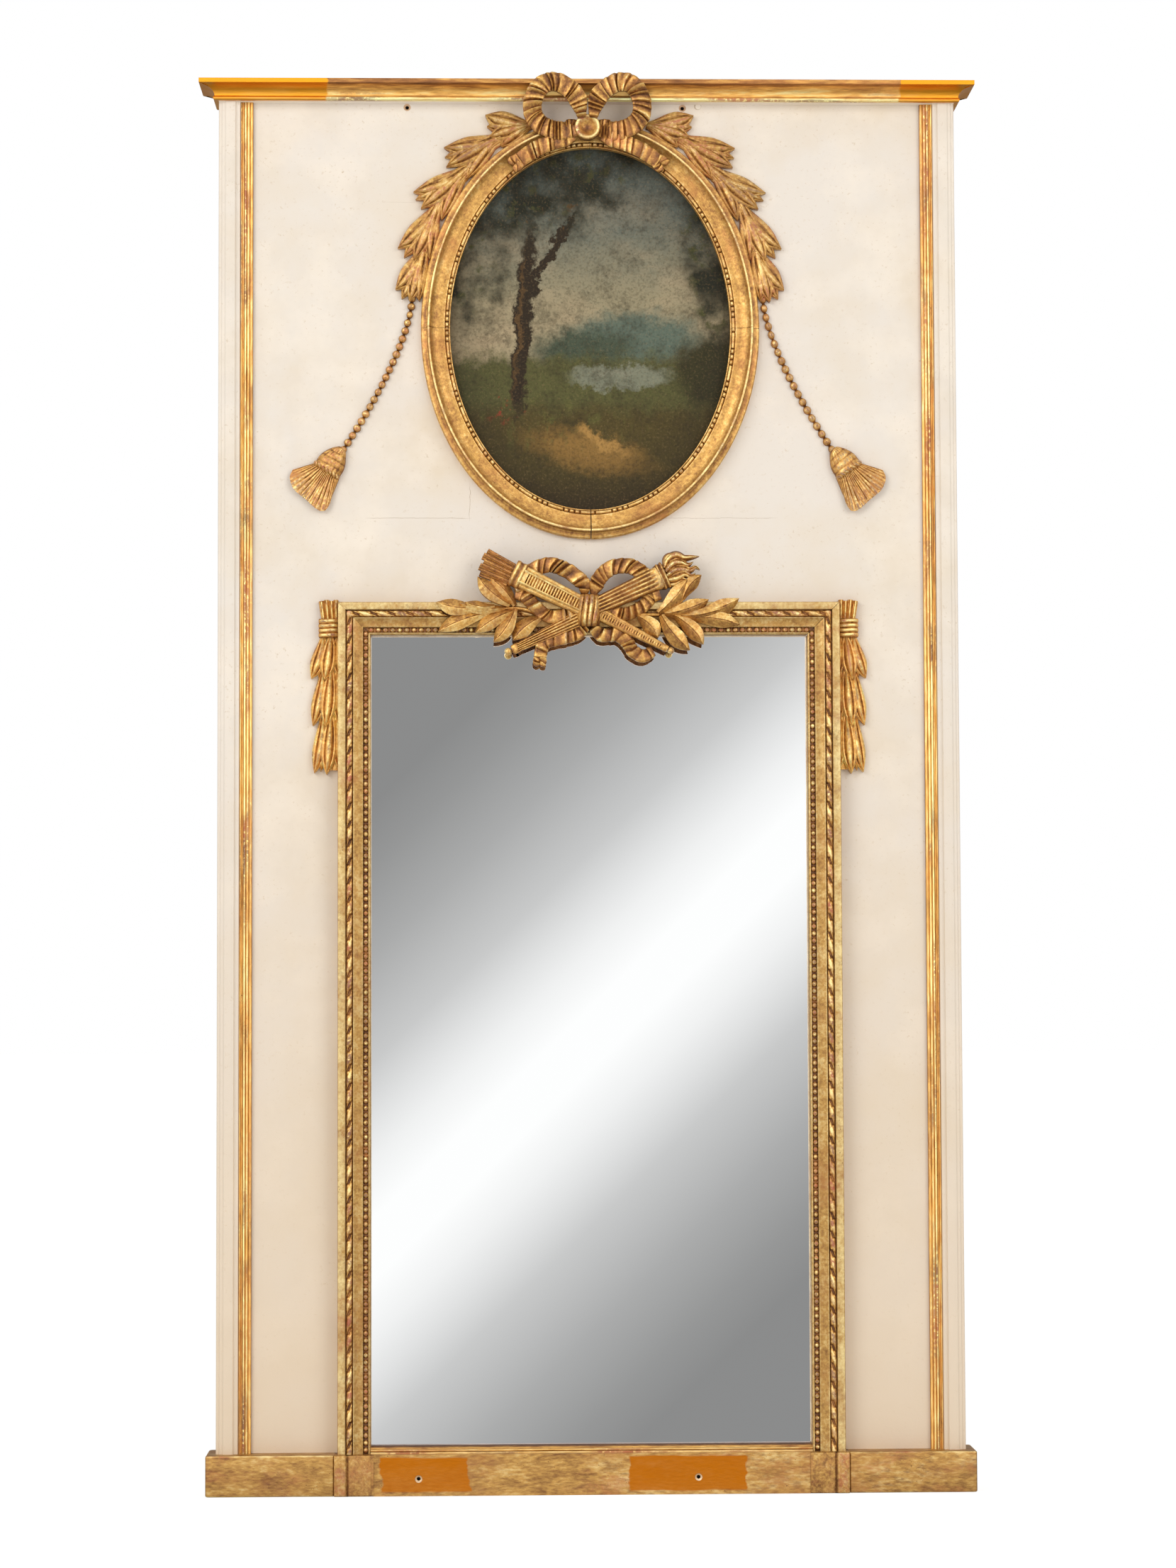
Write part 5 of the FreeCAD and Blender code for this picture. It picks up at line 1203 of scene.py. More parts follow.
def ball_skin(centre, radius, reach):
    """A small turned ball, its rings from back to front as sine and cosine of the angle."""
    angle = np.linspace(0.05, np.pi - 0.05, 13)[:, None]
    around = np.linspace(0, 2 * np.pi, 21)[None, :-1]
    x = centre[0] + radius * np.sin(angle) * np.cos(around)
    y = -(reach - radius * np.cos(angle)) + 0 * around
    z = centre[1] + radius * np.sin(angle) * np.sin(around)
    return np.stack((x, y, z), axis=-1), np.broadcast_to(0.5 + 0.4 * np.sin(angle), x.shape)


def make_quiver(material):
    """The quiver: a collar of two bands, a body with raised edges and cross ribs in a sunk strip, a tapered
    foot with fine ribs past the crossing, and a ball."""
    t, v, path, half, tall = tapered((-88.5, 1172), (-6, 1131.5), (30.5, 24), (20, 17), TROPHY_SEAT, 150, 41)
    ribs = lobes(24 * np.clip((t - 0.02) / 0.98, 0, 1), 0.8)
    strip = (np.abs(v) < 0.42) & (t > 0.10)
    vault = 0.72 + 0.28 * half_round(v)
    edge = 0.06 * bump(np.abs(v), 0.52, 0.06) - 0.05 * bump(np.abs(v), 0.72, 0.05)
    rise = tall * (vault + edge - np.where(strip, 0.15 - 0.13 * ribs, 0))
    relief = np.where(strip, 0.12 + 0.62 * ribs, 0.66 + 2.2 * edge)
    body = carved(path, half * v, rise, np.clip(relief, 0, 1))
    t, v, path, half, tall = tapered((-98.5, 1177), (-85, 1170.3), (34, 33), (21.5, 21.5), TROPHY_SEAT, 40)
    bands = np.maximum(bump(t, 0.2, 0.16), bump(t, 0.78, 0.16))
    vault = 0.70 + 0.30 * half_round(v)
    rise = tall * vault * (0.90 + 0.10 * bands)
    collar = carved(path, half * (0.97 + 0.05 * bands) * v, rise, np.clip(0.15 + 0.7 * bands * vault, 0, 1))
    t, v, path, half, tall = tapered((10, 1125.5), (100.5, 1078), (18, 8.5), (12, 8), TROPHY_SEAT, 160)
    ribs = lobes(30 * t, 0.8)
    strip = (np.abs(v + 0.05) < 0.38) & (t > 0.02) & (t < 0.90)
    vault = 0.70 + 0.30 * half_round(v)
    rise = tall * (vault - np.where(strip, 0.16 - 0.14 * ribs, 0)) * (1 + 0.10 * bump(t, 0.965, 0.02))
    relief = np.where(strip, 0.12 + 0.55 * ribs, 0.62 - 0.3 * bump(np.abs(v), 0.5, 0.07))
    foot = carved(path, half * v, rise, np.clip(relief, 0, 1))
    skins = [body, collar, foot, ball_skin((104.6, 1076.3), 4.6, TROPHY_SEAT + 4)]
    put("quiver_of_arrows", skins, material, "trophy_quiver", sharp=70)


def make_arrows(material):
    """Five flights of arrows above the quiver: flat vanes with a groove between, cut off unevenly."""
    skins = []
    for number in range(5):
        share = number / 4
        start = (-96 - 9.5 * share, 1184.5 - 21.5 * share)
        end = (-131.5 - 9.0 * share - 3.0 * (number % 2), 1204 - 27 * share + 1.5 * (number % 2))
        drop = abs(number - 2)
        t, v, path, half, tall = tapered(start, end, (7.6, 9.2), (13 - drop, 11 - drop), TROPHY_SEAT, 26, 13)
        barbs = lobes(7 * t - 1.6 * np.abs(v), 0.4)
        rod = bump(v, 0, 0.20)
        brim = np.clip(np.abs(v) - 0.85, 0, 1)
        rise = tall * (0.80 + 0.20 * rod - 0.05 * (1 - barbs) * (1 - rod) - 0.25 * brim)
        relief = np.clip(0.40 + 0.40 * rod - 0.22 * (1 - barbs) - 0.30 * bump(np.abs(v), 0.34, 0.1), 0, 1)
        skins.append(carved(path, half * v, rise, relief))
    put("arrow_flights", skins, material, "trophy_arrows", sharp=70)


def make_torch(material):
    """The torch: a cup of two rings, a fluted body, and past the crossing a bundle of reeds with collar and
    ball."""
    t, v, path, half, tall = tapered((91, 1170.5), (6, 1132), (30, 22), (20, 16), TROPHY_SEAT, 60, 57)
    flute = np.abs(np.cos(np.pi * 2.6 * v)) ** 1.6
    fade = np.clip((t - 0.04) * 12, 0, 1)
    vault = 0.66 + 0.34 * half_round(v)
    rise = tall * vault * (1 - 0.13 * (1 - flute) * fade)
    body = carved(path, half * v, rise, np.clip(0.74 - 0.62 * (1 - flute) * fade, 0, 1))
    t, v, path, half, tall = tapered((98.5, 1174), (88, 1169.2), (35, 33.5), (21.5, 21), TROPHY_SEAT, 46)
    rings = np.maximum(bump(t, 0.16, 0.14), bump(t, 0.62, 0.14))
    vault = 0.68 + 0.32 * half_round(v)
    rise = tall * vault * (0.88 + 0.12 * rings)
    cup = carved(path, half * (0.94 + 0.07 * rings) * v, rise, np.clip(0.12 + 0.72 * rings * vault, 0, 1))
    t, v, path, half, tall = tapered((-10, 1119.5), (-95.5, 1078.8), (21, 11.5), (12, 9), TROPHY_SEAT, 60, 49)
    reeds = lobes(2.5 * v + 0.25 * t, 0.8)
    vault = 0.70 + 0.30 * half_round(v)
    swell = 1 + 0.10 * bump(t, 0.98, 0.03) - 0.06 * bump(t, 0.92, 0.02)
    rise = tall * vault * (0.82 + 0.18 * reeds) * swell
    reed_foot = carved(path, half * v * swell, rise, np.clip(0.12 + 0.60 * reeds * vault, 0, 1))
    t, v, path, half, tall = tapered((-92.5, 1080.2), (-99.5, 1077), (13, 12), (10.5, 9.5), TROPHY_SEAT, 16,
                                     15)
    ring = bump(t, 0.5, 0.4)
    foot = carved(path, half * (0.9 + 0.1 * ring) * v, tall * (0.7 + 0.3 * half_round(v)),
                  0.3 + 0.4 * ring)
    skins = [body, cup, reed_foot, foot, ball_skin((-104.4, 1075.2), 5.0, TROPHY_SEAT + 4)]
    put("fluted_torch", skins, material, "trophy_torch", sharp=70)


def tongue(points, wide, tall, reach, seed):
    """A tongue of flame: a thick twisting strip with a furrow that winds along it, and a short point."""
    path = smooth_path(on_plane(points, reach), 40)
    t, v = spans(40, 15)
    belly = 0.72 + 0.28 * np.sin(np.pi * np.clip(t * 1.5, 0, 1))
    half = 0.68 * wide * np.clip(1 - t ** 3.4, 0.02, 1) ** 0.8 * belly
    furrow = lobes(0.85 * v + 0.7 * t + 0.19 * seed, 1)
    body = half_round(v, 0.95)
    rise = tall * (1 - 0.30 * t) * body * (0.74 + 0.26 * furrow)
    return carved(path, half * v, rise, np.clip(0.10 + 0.85 * furrow * body, 0, 1))


def make_flame(material):
    """The torch's flame: thick tongues that blow back to the right in two crests."""
    tongues = (
        (((98, 1182), (103, 1193), (112, 1198.5), (122, 1196), (132, 1197), (142, 1198)), 11, 15),
        (((99, 1177), (108, 1188), (118, 1190), (127, 1187), (134, 1190.5)), 11, 18),
        (((100, 1172), (110, 1180), (121, 1182), (130, 1180.5), (137, 1184), (142.5, 1180.5)), 11, 17),
        (((101, 1167), (112, 1171), (122, 1176), (131, 1173), (137, 1176)), 12, 15),
        (((100, 1162), (109, 1164.5), (119, 1169), (128, 1167)), 10, 12),
        (((99, 1186), (101, 1196), (107, 1200.5), (114, 1199)), 9, 12),
    )
    skins = [tongue(*shape, TROPHY_SEAT, number) for number, shape in enumerate(tongues)]
    put("torch_flame", skins, material, "trophy_flame", sharp=70)


def make_knot(material):
    """The knot over the crossing: soft wraps side by side, fuller at the middle."""
    t, v = spans(44, 57)
    ends = on_plane(((-1, 1149), (-1, 1107)), TROPHY_SEAT)
    path = ends[0] + (ends[1] - ends[0]) * t
    wraps = lobes(1.9 * v + 0.30 * np.sin(3.0 * (t - 0.5)) + 0.10 * np.sin(4 * v) + 0.15, 0.6)
    half = 15.6 * (0.88 + 0.12 * np.sin(np.pi * t))
    dome = half_round(v, 0.96)
    roll = np.sqrt(np.clip(1 - (2 * t - 1) ** 8, 0.1, 1))
    rise = 3 + roll * dome * (18.0 + 4.6 * wraps)
    relief = np.clip(0.08 + 0.86 * wraps * (0.35 + 0.65 * dome) * roll, 0, 1)
    put("trophy_wraps", [carved(path, half * v, rise, relief)], material, "trophy_knot",
        sharp=80)


def make_ribbons(material):
    """The trophy's ribbon: a pleated loop on each side and the two ends that fall over the plate."""
    skins = []
    left = ((-6, 1149), (-7.8, 1162.3), (-20.3, 1174.5), (-34.9, 1183), (-49.6, 1187.5), (-62.1, 1185),
            (-74.7, 1179), (-84, 1168), (-86, 1156), (-79, 1145))
    left_low = ((-95, 1150.5), (-84, 1147.5), (-75, 1139), (-64, 1128), (-50, 1120), (-33, 1122), (-16, 1128))
    left_end = ((-4, 1108), (-14, 1099), (-28, 1094), (-45, 1090.5), (-58, 1085.5), (-62.5, 1076),
                (-63.5, 1066))
    right = ((5, 1149), (8.5, 1160), (14, 1171), (25, 1181.5), (39, 1186), (53, 1185.4), (66, 1178.5),
             (76, 1168), (79, 1156), (74, 1146))
    right_low = ((91, 1150), (80, 1146), (74, 1138.5), (65, 1131), (49, 1124), (33, 1124), (16, 1127))
    right_end = ((4, 1107), (16, 1096.5), (36, 1096.5), (48.5, 1087), (56.8, 1075), (70, 1069.5), (82, 1076))
    for points, pleats, seed in ((left, 13, 71), (right, 12, 72)):
        skins.append(pleated(points, TROPHY_SEAT, 19.5, 11, pleats, seed, narrow=(0.45, 0.9), scallop=0.10,
                             lean=0.5))
    for points, seed in ((left_low, 73), (right_low, 74)):
        skins.append(pleated(points, TROPHY_SEAT, 17, 11.5, 9, seed, narrow=(0.9, 0.6), scallop=0.08))
    for points, wide, seed, narrow in ((left_end, 16.5, 75, (0.7, 0.95)), (right_end, 17, 76, (0.7, 0.8))):
        skins.append(pleated(points, TROPHY_SEAT - 1, wide, 10, 9, seed, narrow=narrow, scallop=0.12))
    skins += forked_end((-63.4, 1070), (-64.6, 1056), TROPHY_SEAT - 1, 17, 8)
    put("trophy_ribbon_work", skins, material, "trophy_ribbons", sharp=38)


# The sprays' leaves as (root, tip, width in twentieths of a laurel leaf, layer), and their stalks' points.
SPRAYS = {
    "left": (((-142, 1131.4), (-197.3, 1139.6), 20, 0), ((-129.1, 1124.9), (-195, 1101), 20, 0),
             ((-109, 1131.4), (-168, 1137.5), 15, 1), ((-96.5, 1128.1), (-147, 1098.8), 19, 1),
             ((-95.7, 1130), (-123.6, 1087.2), 19, 2), ((-95.7, 1134.2), (-129, 1171), 17, 1),
             ((-102, 1135.2), (-143.8, 1172), 19, 2), ((-62, 1119.5), (-98.6, 1089.6), 21, 0),
             ((-122, 1134), (-160, 1139.2), 13, 2)),
    "right": (((132.5, 1121.4), (193.5, 1144), 20, 0), ((128, 1118), (194, 1110), 19, 0),
              ((96.9, 1123.5), (154, 1142.4), 20, 1), ((109.5, 1121.4), (147, 1084.2), 19, 1),
              ((92.7, 1121.4), (129.4, 1076.6), 20, 2), ((120.1, 1142.4), (145, 1174), 16, 1),
              ((88.5, 1124.6), (126, 1168.5), 20, 2), ((63, 1120.5), (88.4, 1092.4), 21, 0),
              ((118, 1121), (172, 1131), 15, 1)),
}


STALKS = {"left": ((-62, 1124), (-98, 1131.5), (-150, 1124)), "right": ((62, 1123), (96, 1123), (150, 1122))}


def make_laurels(material):
    """Laurel sprays behind the trophy: smooth pointed leaves with a fine midrib, on a thin stem."""
    wide, seat = size_of("laurel_wide"), TROPHY_SEAT - 1
    for side, sign in SIDES:
        skins = [blade(base, tip, wide * share / 20, 10.5, seat, bend=3.52 * sign * (1 if number % 2 else -1),
                       lift=2.6 * layer) for number, (base, tip, share, layer) in enumerate(SPRAYS[side])]
        skins.append(stalk(STALKS[side], seat, 24, 3.0, 7.5, 0.5))
        put(f"laurel_spray_{side}", skins, material, f"laurel_{side}", sharp=70)


# Side pendants --------------------------------------------------------------------------------

# The root and tip levels of the pendants' three tiers of husks.
HUSK_TIERS = ((1100, 1040), (1058, 979), (1000, 918))


def make_pendants(material):
    """Husk pendants beside the mirror frame: cut stems, a tie of four cords and three tiers of long husks."""
    edge = high("mirror_frame_right")[0]

    def line_at(start, end, sign):
        return on_side(((-edge + start[0], start[1]), (-edge + end[0], end[1])), sign)

    for side, sign in SIDES:
        skins = []
        for tier, (start, end) in enumerate(HUSK_TIERS):
            spread = 1 - 0.06 * tier
            # The front husk of each tier lies a hair higher than the one before, where they cross.
            for root, tip, wide, bend, lift, short in (
                    (-19, -35 * spread, 20, 3.0, 0, 2), (-1, 2, 20, 0.0, 0.5, 3),
                    (-14, -26 * spread, 13, 2.0, -2, 4), (-5, -8, 13, 0.0, -2, 6),
                    (-9, -17 * spread, 22, 0.5, 2.4 + 0.01 * tier, 0)):
                line = line_at((root, start), (tip, end + short), sign)
                skins.append(husk(*line, wide, 10.5, FACE, bend=-sign * bend, lift=lift - 0.5, tilt=3.0))
        for number, x in enumerate((-22.0, -15.5, -9.0, -3.0)):
            line = line_at((x * 0.8, 1110), (x, 1142.5 + (number % 2) * 1.5), sign)
            t, v, path, half, tall = tapered(*line, (6.4, 7.6), (11, 12.5), FACE, 18, 13)
            grooves = np.abs(np.cos(np.pi * (1.2 * v + 0.1 * t))) ** 0.6
            body = half_round(v, 0.95)
            skins.append(carved(path, half * v, tall * body * (0.84 + 0.16 * grooves),
                                np.clip(0.15 + 0.7 * grooves * body, 0, 1)))
        t, v, path, half, tall = tapered(*line_at((-7, 1096), (-7, 924), sign), (16, 16), (5, 5), FACE, 20, 9)
        skins.append(carved(path, half * v, tall - v ** 4, 0.5))
        t, v, path, half, tall = tapered(*line_at((-12, 1119.5), (-12, 1095.5), sign), (27, 27), (15.5, 15.5),
                                         FACE, 60, 25)
        cords = lobes(4 * t + 0.05 * np.sin(3 * v), 0.75)
        body = 0.45 + 0.55 * half_round(v, 0.97)
        skins.append(carved(path, half * (0.95 + 0.05 * cords) * v, tall * body * (0.84 + 0.16 * cords),
                            np.clip(0.10 + 0.8 * cords * body, 0, 1)))
        skins = [(tucked(points, sign, edge), relief) for points, relief in skins]
        put(f"husk_bundle_{side}", skins, material, f"husk_pendant_{side}", sharp=70)


def tucked(points, sign, edge):
    """Points that would lie inside the mirror frame's edge are brought back to it, a hair outside."""
    points = points.copy()
    points[..., 0] = sign * np.maximum(sign * points[..., 0], edge + 0.05)
    return points


# Stage ----------------------------------------------------------------------------------------

def place_on_stage(item, right, up, back, place):
    """An object of the stage at a place, turned to its three unit axes."""
    matrix = np.identity(4)
    matrix[:3] = np.stack((right, up, back, place), axis=1)
    item.matrix_world = Matrix(matrix.tolist())
    bpy.context.scene.collection.objects.link(item)


def make_camera():
    """The camera of the photograph: a long lens 4.6 m away, low and a little to the left."""
    focal_pixels, frame_pixels, sensor = 5037, 1659, 36.0
    camera = bpy.data.cameras.new("view_camera")
    camera.sensor_fit = "HORIZONTAL"
    camera.sensor_width = sensor
    camera.lens = focal_pixels / frame_pixels * sensor
    camera.clip_end = 60
    pitch, yaw, roll = (math.radians(angle) for angle in (3.233, 1.564, -0.201))
    right = np.array((math.cos(yaw), -math.sin(yaw), 0))
    ahead = np.array((math.sin(yaw) * math.cos(pitch), math.cos(yaw) * math.cos(pitch), math.sin(pitch)))
    up = np.cross(right, ahead)
    view = bpy.data.objects.new("view_camera", camera)
    place_on_stage(view, math.cos(roll) * right + math.sin(roll) * up,
                   math.cos(roll) * up - math.sin(roll) * right, -ahead, (-0.1275, -4.6408, 0.6458))
    bpy.context.scene.camera = view


def make_lamp(name, place, target, wide, watts):
    """A soft square window, faintly warm, that faces its target."""
    light = bpy.data.lights.new(name, "AREA")
    light.size = wide
    light.energy = watts
    light.color = linear("#FFFDFA")[:3]
    way = np.array(target) - place
    way /= np.linalg.norm(way)
    side = np.cross(way, (0, 0, 1))
    side /= np.linalg.norm(side)
    place_on_stage(bpy.data.objects.new(name, light), side, np.cross(side, way), -way, place)


def make_world():
    """Even pale light. The camera sees white, and the polished plate sees a soft grey studio card.

    The card is a function of the direction of the ray: white along a slanting line and falling to mid grey on
    both sides of it.
    """
    world = bpy.data.worlds.new("studio")
    world.use_nodes = True
    tree = world.node_tree
    tree.nodes.clear()
    ray = add_node(tree, "ShaderNodeLightPath")
    way = add_node(tree, "ShaderNodeTexCoord").outputs["Generated"]
    ahead = add_node(tree, "ShaderNodeSeparateXYZ", {0: way}).outputs["Y"]
    depth = add_node(tree, "ShaderNodeMath", {0: ahead, 1: -1.0}, operation="MULTIPLY")
    depth = add_node(tree, "ShaderNodeMath", {0: depth.outputs[0], 1: 0.05}, operation="MAXIMUM").outputs[0]
    slant = add_node(tree, "ShaderNodeVectorMath", {0: way, 1: (7.75, 0, -8.06)}, operation="DOT_PRODUCT")
    slant = add_node(tree, "ShaderNodeMath", {0: slant.outputs["Value"], 1: depth}, operation="DIVIDE")
    slant = add_node(tree, "ShaderNodeMath", {0: slant.outputs[0], 1: 0.334}, operation="SUBTRACT")
    slant = add_node(tree, "ShaderNodeMath", {0: slant.outputs[0]}, operation="ABSOLUTE")
    card = add_node(tree, "ShaderNodeValToRGB", {0: slant.outputs[0]})
    stops = card.color_ramp.elements
    stops[0].position, stops[0].color = 0.07, linear("#FFFFFF")
    stops[1].position, stops[1].color = 1.0, linear("#8C8C8C")
    for position, shade in ((0.20, "#F2F2F2"), (0.30, "#E2E2E2"), (0.42, "#CACACA"), (0.66, "#ACACAC"),
                            (0.86, "#979797")):
        stops.new(position).color = linear(shade)
    glow = add_node(tree, "ShaderNodeVectorMath", {0: way, 1: (-0.25, -0.75, 0.45)}, operation="DOT_PRODUCT")
    glow = add_node(tree, "ShaderNodeMapRange", {"Value": glow.outputs["Value"], "From Min": -0.2,
                                                 "From Max": 0.95, "To Min": 0.35, "To Max": 1.75}).outputs[0]
    pure = linear("#FFFFFF")
    seen, softbox, studio, white = (
        add_node(tree, "ShaderNodeBackground", {"Color": shade, "Strength": strength})
        for shade, strength in ((pure, 0.62), (pure, glow), (card.outputs[0], 1.03), (pure, 1.0)))
    for key, light in (("Is Glossy Ray", softbox), ("Is Singular Ray", studio), ("Is Camera Ray", white)):
        seen = add_node(tree, "ShaderNodeMixShader", {0: ray.outputs[key], 1: seen.outputs[0],
                                                      2: light.outputs[0]})
    add_node(tree, "ShaderNodeOutputWorld", {0: seen.outputs[0]})
    bpy.context.scene.world = world


def make_floor():
    """A plain pale floor under the plinth, which looks nearly white and keeps a soft shadow."""
    material, tree, place = new_material("pale_studio_floor")
    ray = add_node(tree, "ShaderNodeLightPath")
    matt = add_node(tree, "ShaderNodeBsdfDiffuse", {"Color": linear("#F4F2EE")})
    white = add_node(tree, "ShaderNodeEmission", {"Color": linear("#FFFFFF"), "Strength": 1.2})
    share = product(tree, ray.outputs["Is Camera Ray"], 0.72)
    mixed = add_node(tree, "ShaderNodeMixShader", {0: share, 1: matt.outputs[0], 2: white.outputs[0]})
    add_node(tree, "ShaderNodeOutputMaterial", {0: mixed.outputs[0]})
    mesh = bpy.data.meshes.new("floor")
    mesh.from_pydata([(-30, -30, -0.0005), (30, -30, -0.0005), (30, 30, -0.0005), (-30, 30, -0.0005)], [],
                     [(0, 1, 2, 3)])
    mesh.materials.append(material)
    floor = bpy.data.objects.new("floor", mesh)
    floor.visible_glossy = False
    bpy.context.scene.collection.objects.link(floor)


# Operators ------------------------------------------------------------------------------------

class TRUMEAU_OT_stage(bpy.types.Operator):
    """Adds the camera, the soft studio lamps, the world and the floor"""
    bl_idname = "trumeau.stage"
    bl_label = "Stage"

    def execute(self, context):
        context.scene.view_settings.view_transform = "Standard"
        make_camera()
        make_world()
        make_floor()
        make_lamp("window_left", (-2.6, -3.4, 2.6), (0, 0, 1.0), 2.2, 57)
        make_lamp("window_right", (2.9, -3.6, 2.2), (0, 0, 0.9), 2.4, 51)
        return {"FINISHED"}


class TRUMEAU_OT_back(bpy.types.Operator):
    """Finishes the bare boards of the back"""
    bl_idname = "trumeau.back"
    bl_label = "Back boards"

    def execute(self, context):
        crosswise = bare_pine("old pine, grain across", (30, 1, 1))
        upright = bare_pine("old pine, grain up", (1, 1, 30))
        for node in ("carcase_top_rail", "carcase_bottom_rail", "back_batten_upper", "back_batten_lower"):
            finish_node(node, crosswise)
        for node in ("mirror_backboard", "mirror_cleats", "oval_strainer"):
            finish_node(node, upright)
        return {"FINISHED"}


class TRUMEAU_OT_painted_boards(bpy.types.Operator):
    """Paints the boards of the face and the sides, with the cracks of their joints"""
    bl_idname = "trumeau.painted_boards"
    bl_label = "Painted boards"

    def execute(self, context):
        cracked = cream_paint("cream oil paint on joined boards", cracked=True, bare_back=True)
        plain = cream_paint("cream oil paint on boards", bare_back=True)
        for node in ("field_cross_rail", "field_upper_panel"):
            finish_node(node, cracked)
        for node in ("field_stile_left", "field_stile_right", "carcase_side_left", "carcase_side_right",
                     "cornice_backing"):
            finish_node(node, plain)
        return {"FINISHED"}


class TRUMEAU_OT_edge_mouldings(bpy.types.Operator):
    """Makes the stepped cream mouldings of the long edges"""
    bl_idname = "trumeau.edge_mouldings"
    bl_label = "Edge mouldings"

    def execute(self, context):
        make_edges(cream_paint("cream oil paint on mouldings"))
        return {"FINISHED"}


class TRUMEAU_OT_gilt_fillets(bpy.types.Operator):
    """Makes the reeded gilt fillets"""
    bl_idname = "trumeau.gilt_fillets"
    bl_label = "Gilt fillets"

    def execute(self, context):
        make_fillets(gilded_wood("water gilding rubbed along its reeds", rub=0.75, tone=0.4, light=1.35,
                                 grain=(1, 1, 7)))
        return {"FINISHED"}


class TRUMEAU_OT_cornice(bpy.types.Operator):
    """Makes the cornice and its returns"""
    bl_idname = "trumeau.cornice"
    bl_label = "Cornice"

    def execute(self, context):
        ends = ((-520, -338, 1790, 1830), (409, 520, 1790, 1823), (383, 520, 1821, 1830))
        make_cornice(gilded_wood("water gilding with varnished ends", rub=0.5, tone=0.4, light=1.42,
                                 grain=(7, 1, 1), amber=ends, varnish="#DC9420"))
        return {"FINISHED"}


class TRUMEAU_OT_plinth(bpy.types.Operator):
    """Makes the plinth's end sections, blocks and small moulding, and gilds its middle"""
    bl_idname = "trumeau.plinth"
    bl_label = "Plinth"

    def execute(self, context):
        plain = gilded_wood("toned gilding on a plain board", rub=0.35, tone=1.0, light=0.78, grain=(3, 1, 1))
        blocks = gilded_wood("rubbed gilding on blocks", rub=0.85, tone=1.0, light=0.80)
        make_plinth(plain, blocks)
        make_sight(gilded_wood("gilding on a small moulding", rub=0.5, tone=0.5, grain=(5, 1, 1)))
        amber = ((-270, -155, 5, 49), (48, 196, 5, 49))
        middle = gilded_wood("toned gilding with amber varnish", rub=0.3, tone=0.9, light=0.82, flat=0.6,
                             grain=(3, 1, 1), amber=amber, holes=SCREWS["base"])
        finish_node("plinth_centre", middle)
        return {"FINISHED"}


class TRUMEAU_OT_mirror(bpy.types.Operator):
    """Silvers the plate, and makes the mirror frame with its twisted ribbon and pearls"""
    bl_idname = "trumeau.mirror"
    bl_label = "Mirror and frame"

    def execute(self, context):
        finish_node("mirror_glass", mirror_plate("silvered plate glass"))
        make_frame(gilded_wood("water gilding on the mirror frame", rub=0.14, tone=0.5, light=0.70))
        make_frame_trim(gilded_wood("water gilding on carved ribbon", rub=0.9, tone=0.4, light=1.0),
                        gilded_wood("water gilding on pearls", rub=1.5, tone=0.3, light=1.15))
        return {"FINISHED"}


class TRUMEAU_OT_oval(bpy.types.Operator):
    """Makes the oval frame and paints its canvas"""
    bl_idname = "trumeau.oval"
    bl_label = "Oval painting"

    def execute(self, context):
        make_oval(gilded_wood("water gilding on the oval frame", rub=0.3, tone=0.4))
        finish_node("oval_canvas", painting("varnished oil paint on canvas"))
        return {"FINISHED"}


class TRUMEAU_OT_bow(bpy.types.Operator):
    """Carves the bow"""
    bl_idname = "trumeau.bow"
    bl_label = "Bow"

    def execute(self, context):
        make_bow(gilded_wood("water gilding on pleated ribbon", rub=0.6, tone=0.55, light=1.08))
        return {"FINISHED"}


class TRUMEAU_OT_garlands(bpy.types.Operator):
    """Carves the leaf garlands"""
    bl_idname = "trumeau.garlands"
    bl_label = "Garlands"

    def execute(self, context):
        make_garlands(gilded_wood("water gilding on garland leaves", rub=1.0, tone=0.6, light=0.88))
        return {"FINISHED"}


class TRUMEAU_OT_drops(bpy.types.Operator):
    """Carves the bead strings and their tassels"""
    bl_idname = "trumeau.drops"
    bl_label = "Bead strings and tassels"

    def execute(self, context):
        make_drops(gilded_wood("water gilding on beads and tassels", rub=1.6, tone=0.3, light=1.1))
        return {"FINISHED"}


class TRUMEAU_OT_trophy(bpy.types.Operator):
    """Carves the quiver, arrows, torch, flame, knot and ribbons"""
    bl_idname = "trumeau.trophy"
    bl_label = "Trophy"

    def execute(self, context):
        gilding = gilded_wood("water gilding on the trophy", rub=0.6, tone=0.55, light=1.1)
        for make in (make_quiver, make_arrows, make_torch, make_flame, make_knot, make_ribbons):
            make(gilding)
        return {"FINISHED"}


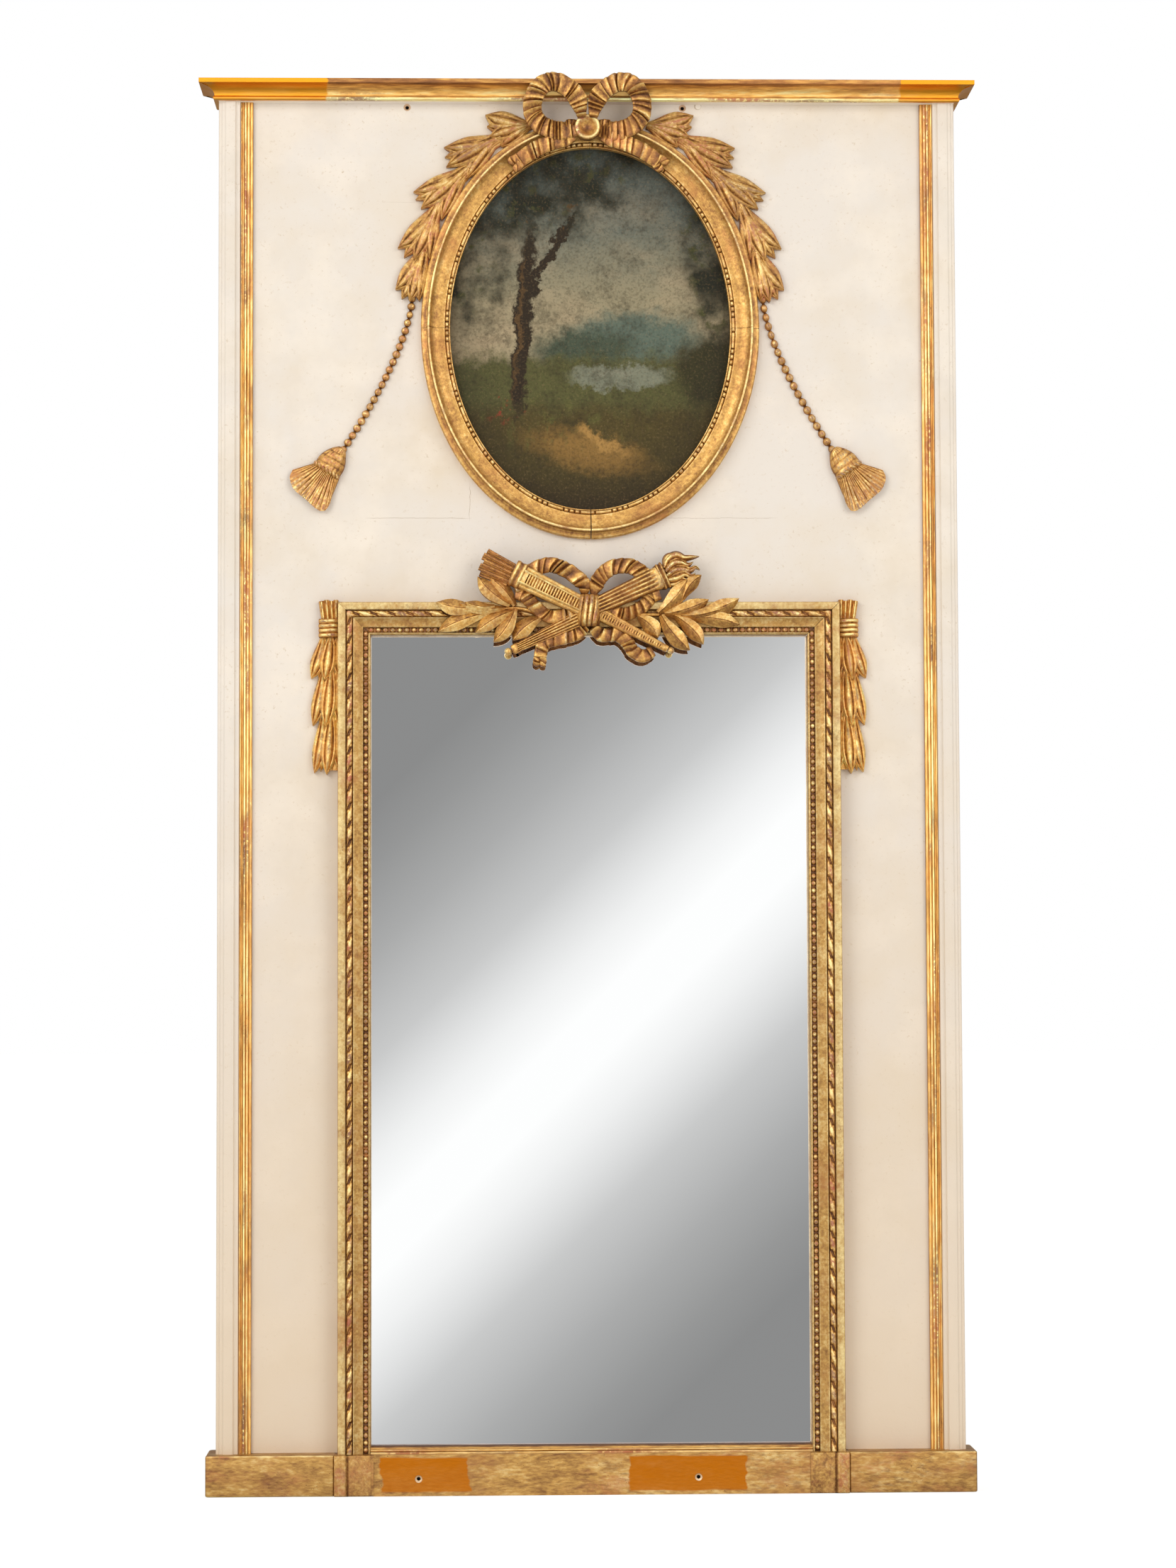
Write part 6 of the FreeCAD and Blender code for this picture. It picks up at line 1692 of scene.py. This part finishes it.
class TRUMEAU_OT_laurels(bpy.types.Operator):
    """Carves the laurel sprays"""
    bl_idname = "trumeau.laurels"
    bl_label = "Laurel sprays"

    def execute(self, context):
        make_laurels(gilded_wood("water gilding on laurel leaves", rub=0.4, tone=0.5, light=1.05))
        return {"FINISHED"}


class TRUMEAU_OT_pendants(bpy.types.Operator):
    """Carves the husk pendants beside the mirror frame"""
    bl_idname = "trumeau.pendants"
    bl_label = "Husk pendants"

    def execute(self, context):
        make_pendants(gilded_wood("water gilding on husks", rub=0.7, tone=0.1, light=1.25))
        return {"FINISHED"}


OPERATORS = (
    TRUMEAU_OT_stage, TRUMEAU_OT_back, TRUMEAU_OT_painted_boards, TRUMEAU_OT_edge_mouldings,
    TRUMEAU_OT_gilt_fillets, TRUMEAU_OT_cornice, TRUMEAU_OT_plinth, TRUMEAU_OT_mirror, TRUMEAU_OT_oval,
    TRUMEAU_OT_bow, TRUMEAU_OT_garlands, TRUMEAU_OT_drops, TRUMEAU_OT_trophy, TRUMEAU_OT_laurels,
    TRUMEAU_OT_pendants,
)


class TRUMEAU_PT_panel(bpy.types.Panel):
    """The sidebar panel with the sizes, the colours and the operators"""
    bl_idname = "TRUMEAU_PT_panel"
    bl_label = "Trumeau mirror"
    bl_space_type = "VIEW_3D"
    bl_region_type = "UI"
    bl_category = "Trumeau"

    def draw(self, context):
        for group in (context.scene.trumeau_sizes, context.scene.trumeau_colours):
            box = self.layout.box()
            for name in group.__annotations__:
                box.prop(group, name)
        for operator in OPERATORS:
            self.layout.operator(operator.bl_idname)


CLASSES = (TrumeauSizes, TrumeauColours) + OPERATORS + (TRUMEAU_PT_panel,)


def register():
    """Registers the classes and the two groups of properties."""
    for item in CLASSES:
        bpy.utils.register_class(item)
    bpy.types.Scene.trumeau_sizes = PointerProperty(type=TrumeauSizes)
    bpy.types.Scene.trumeau_colours = PointerProperty(type=TrumeauColours)


def unregister():
    """Takes them away again."""
    del bpy.types.Scene.trumeau_colours
    del bpy.types.Scene.trumeau_sizes
    for item in reversed(CLASSES):
        bpy.utils.unregister_class(item)


def main():
    """Runs every operator in order."""
    register()
    for operator in OPERATORS:
        group, name = operator.bl_idname.split(".")
        getattr(getattr(bpy.ops, group), name)()


if __name__ == "__main__":
    main()
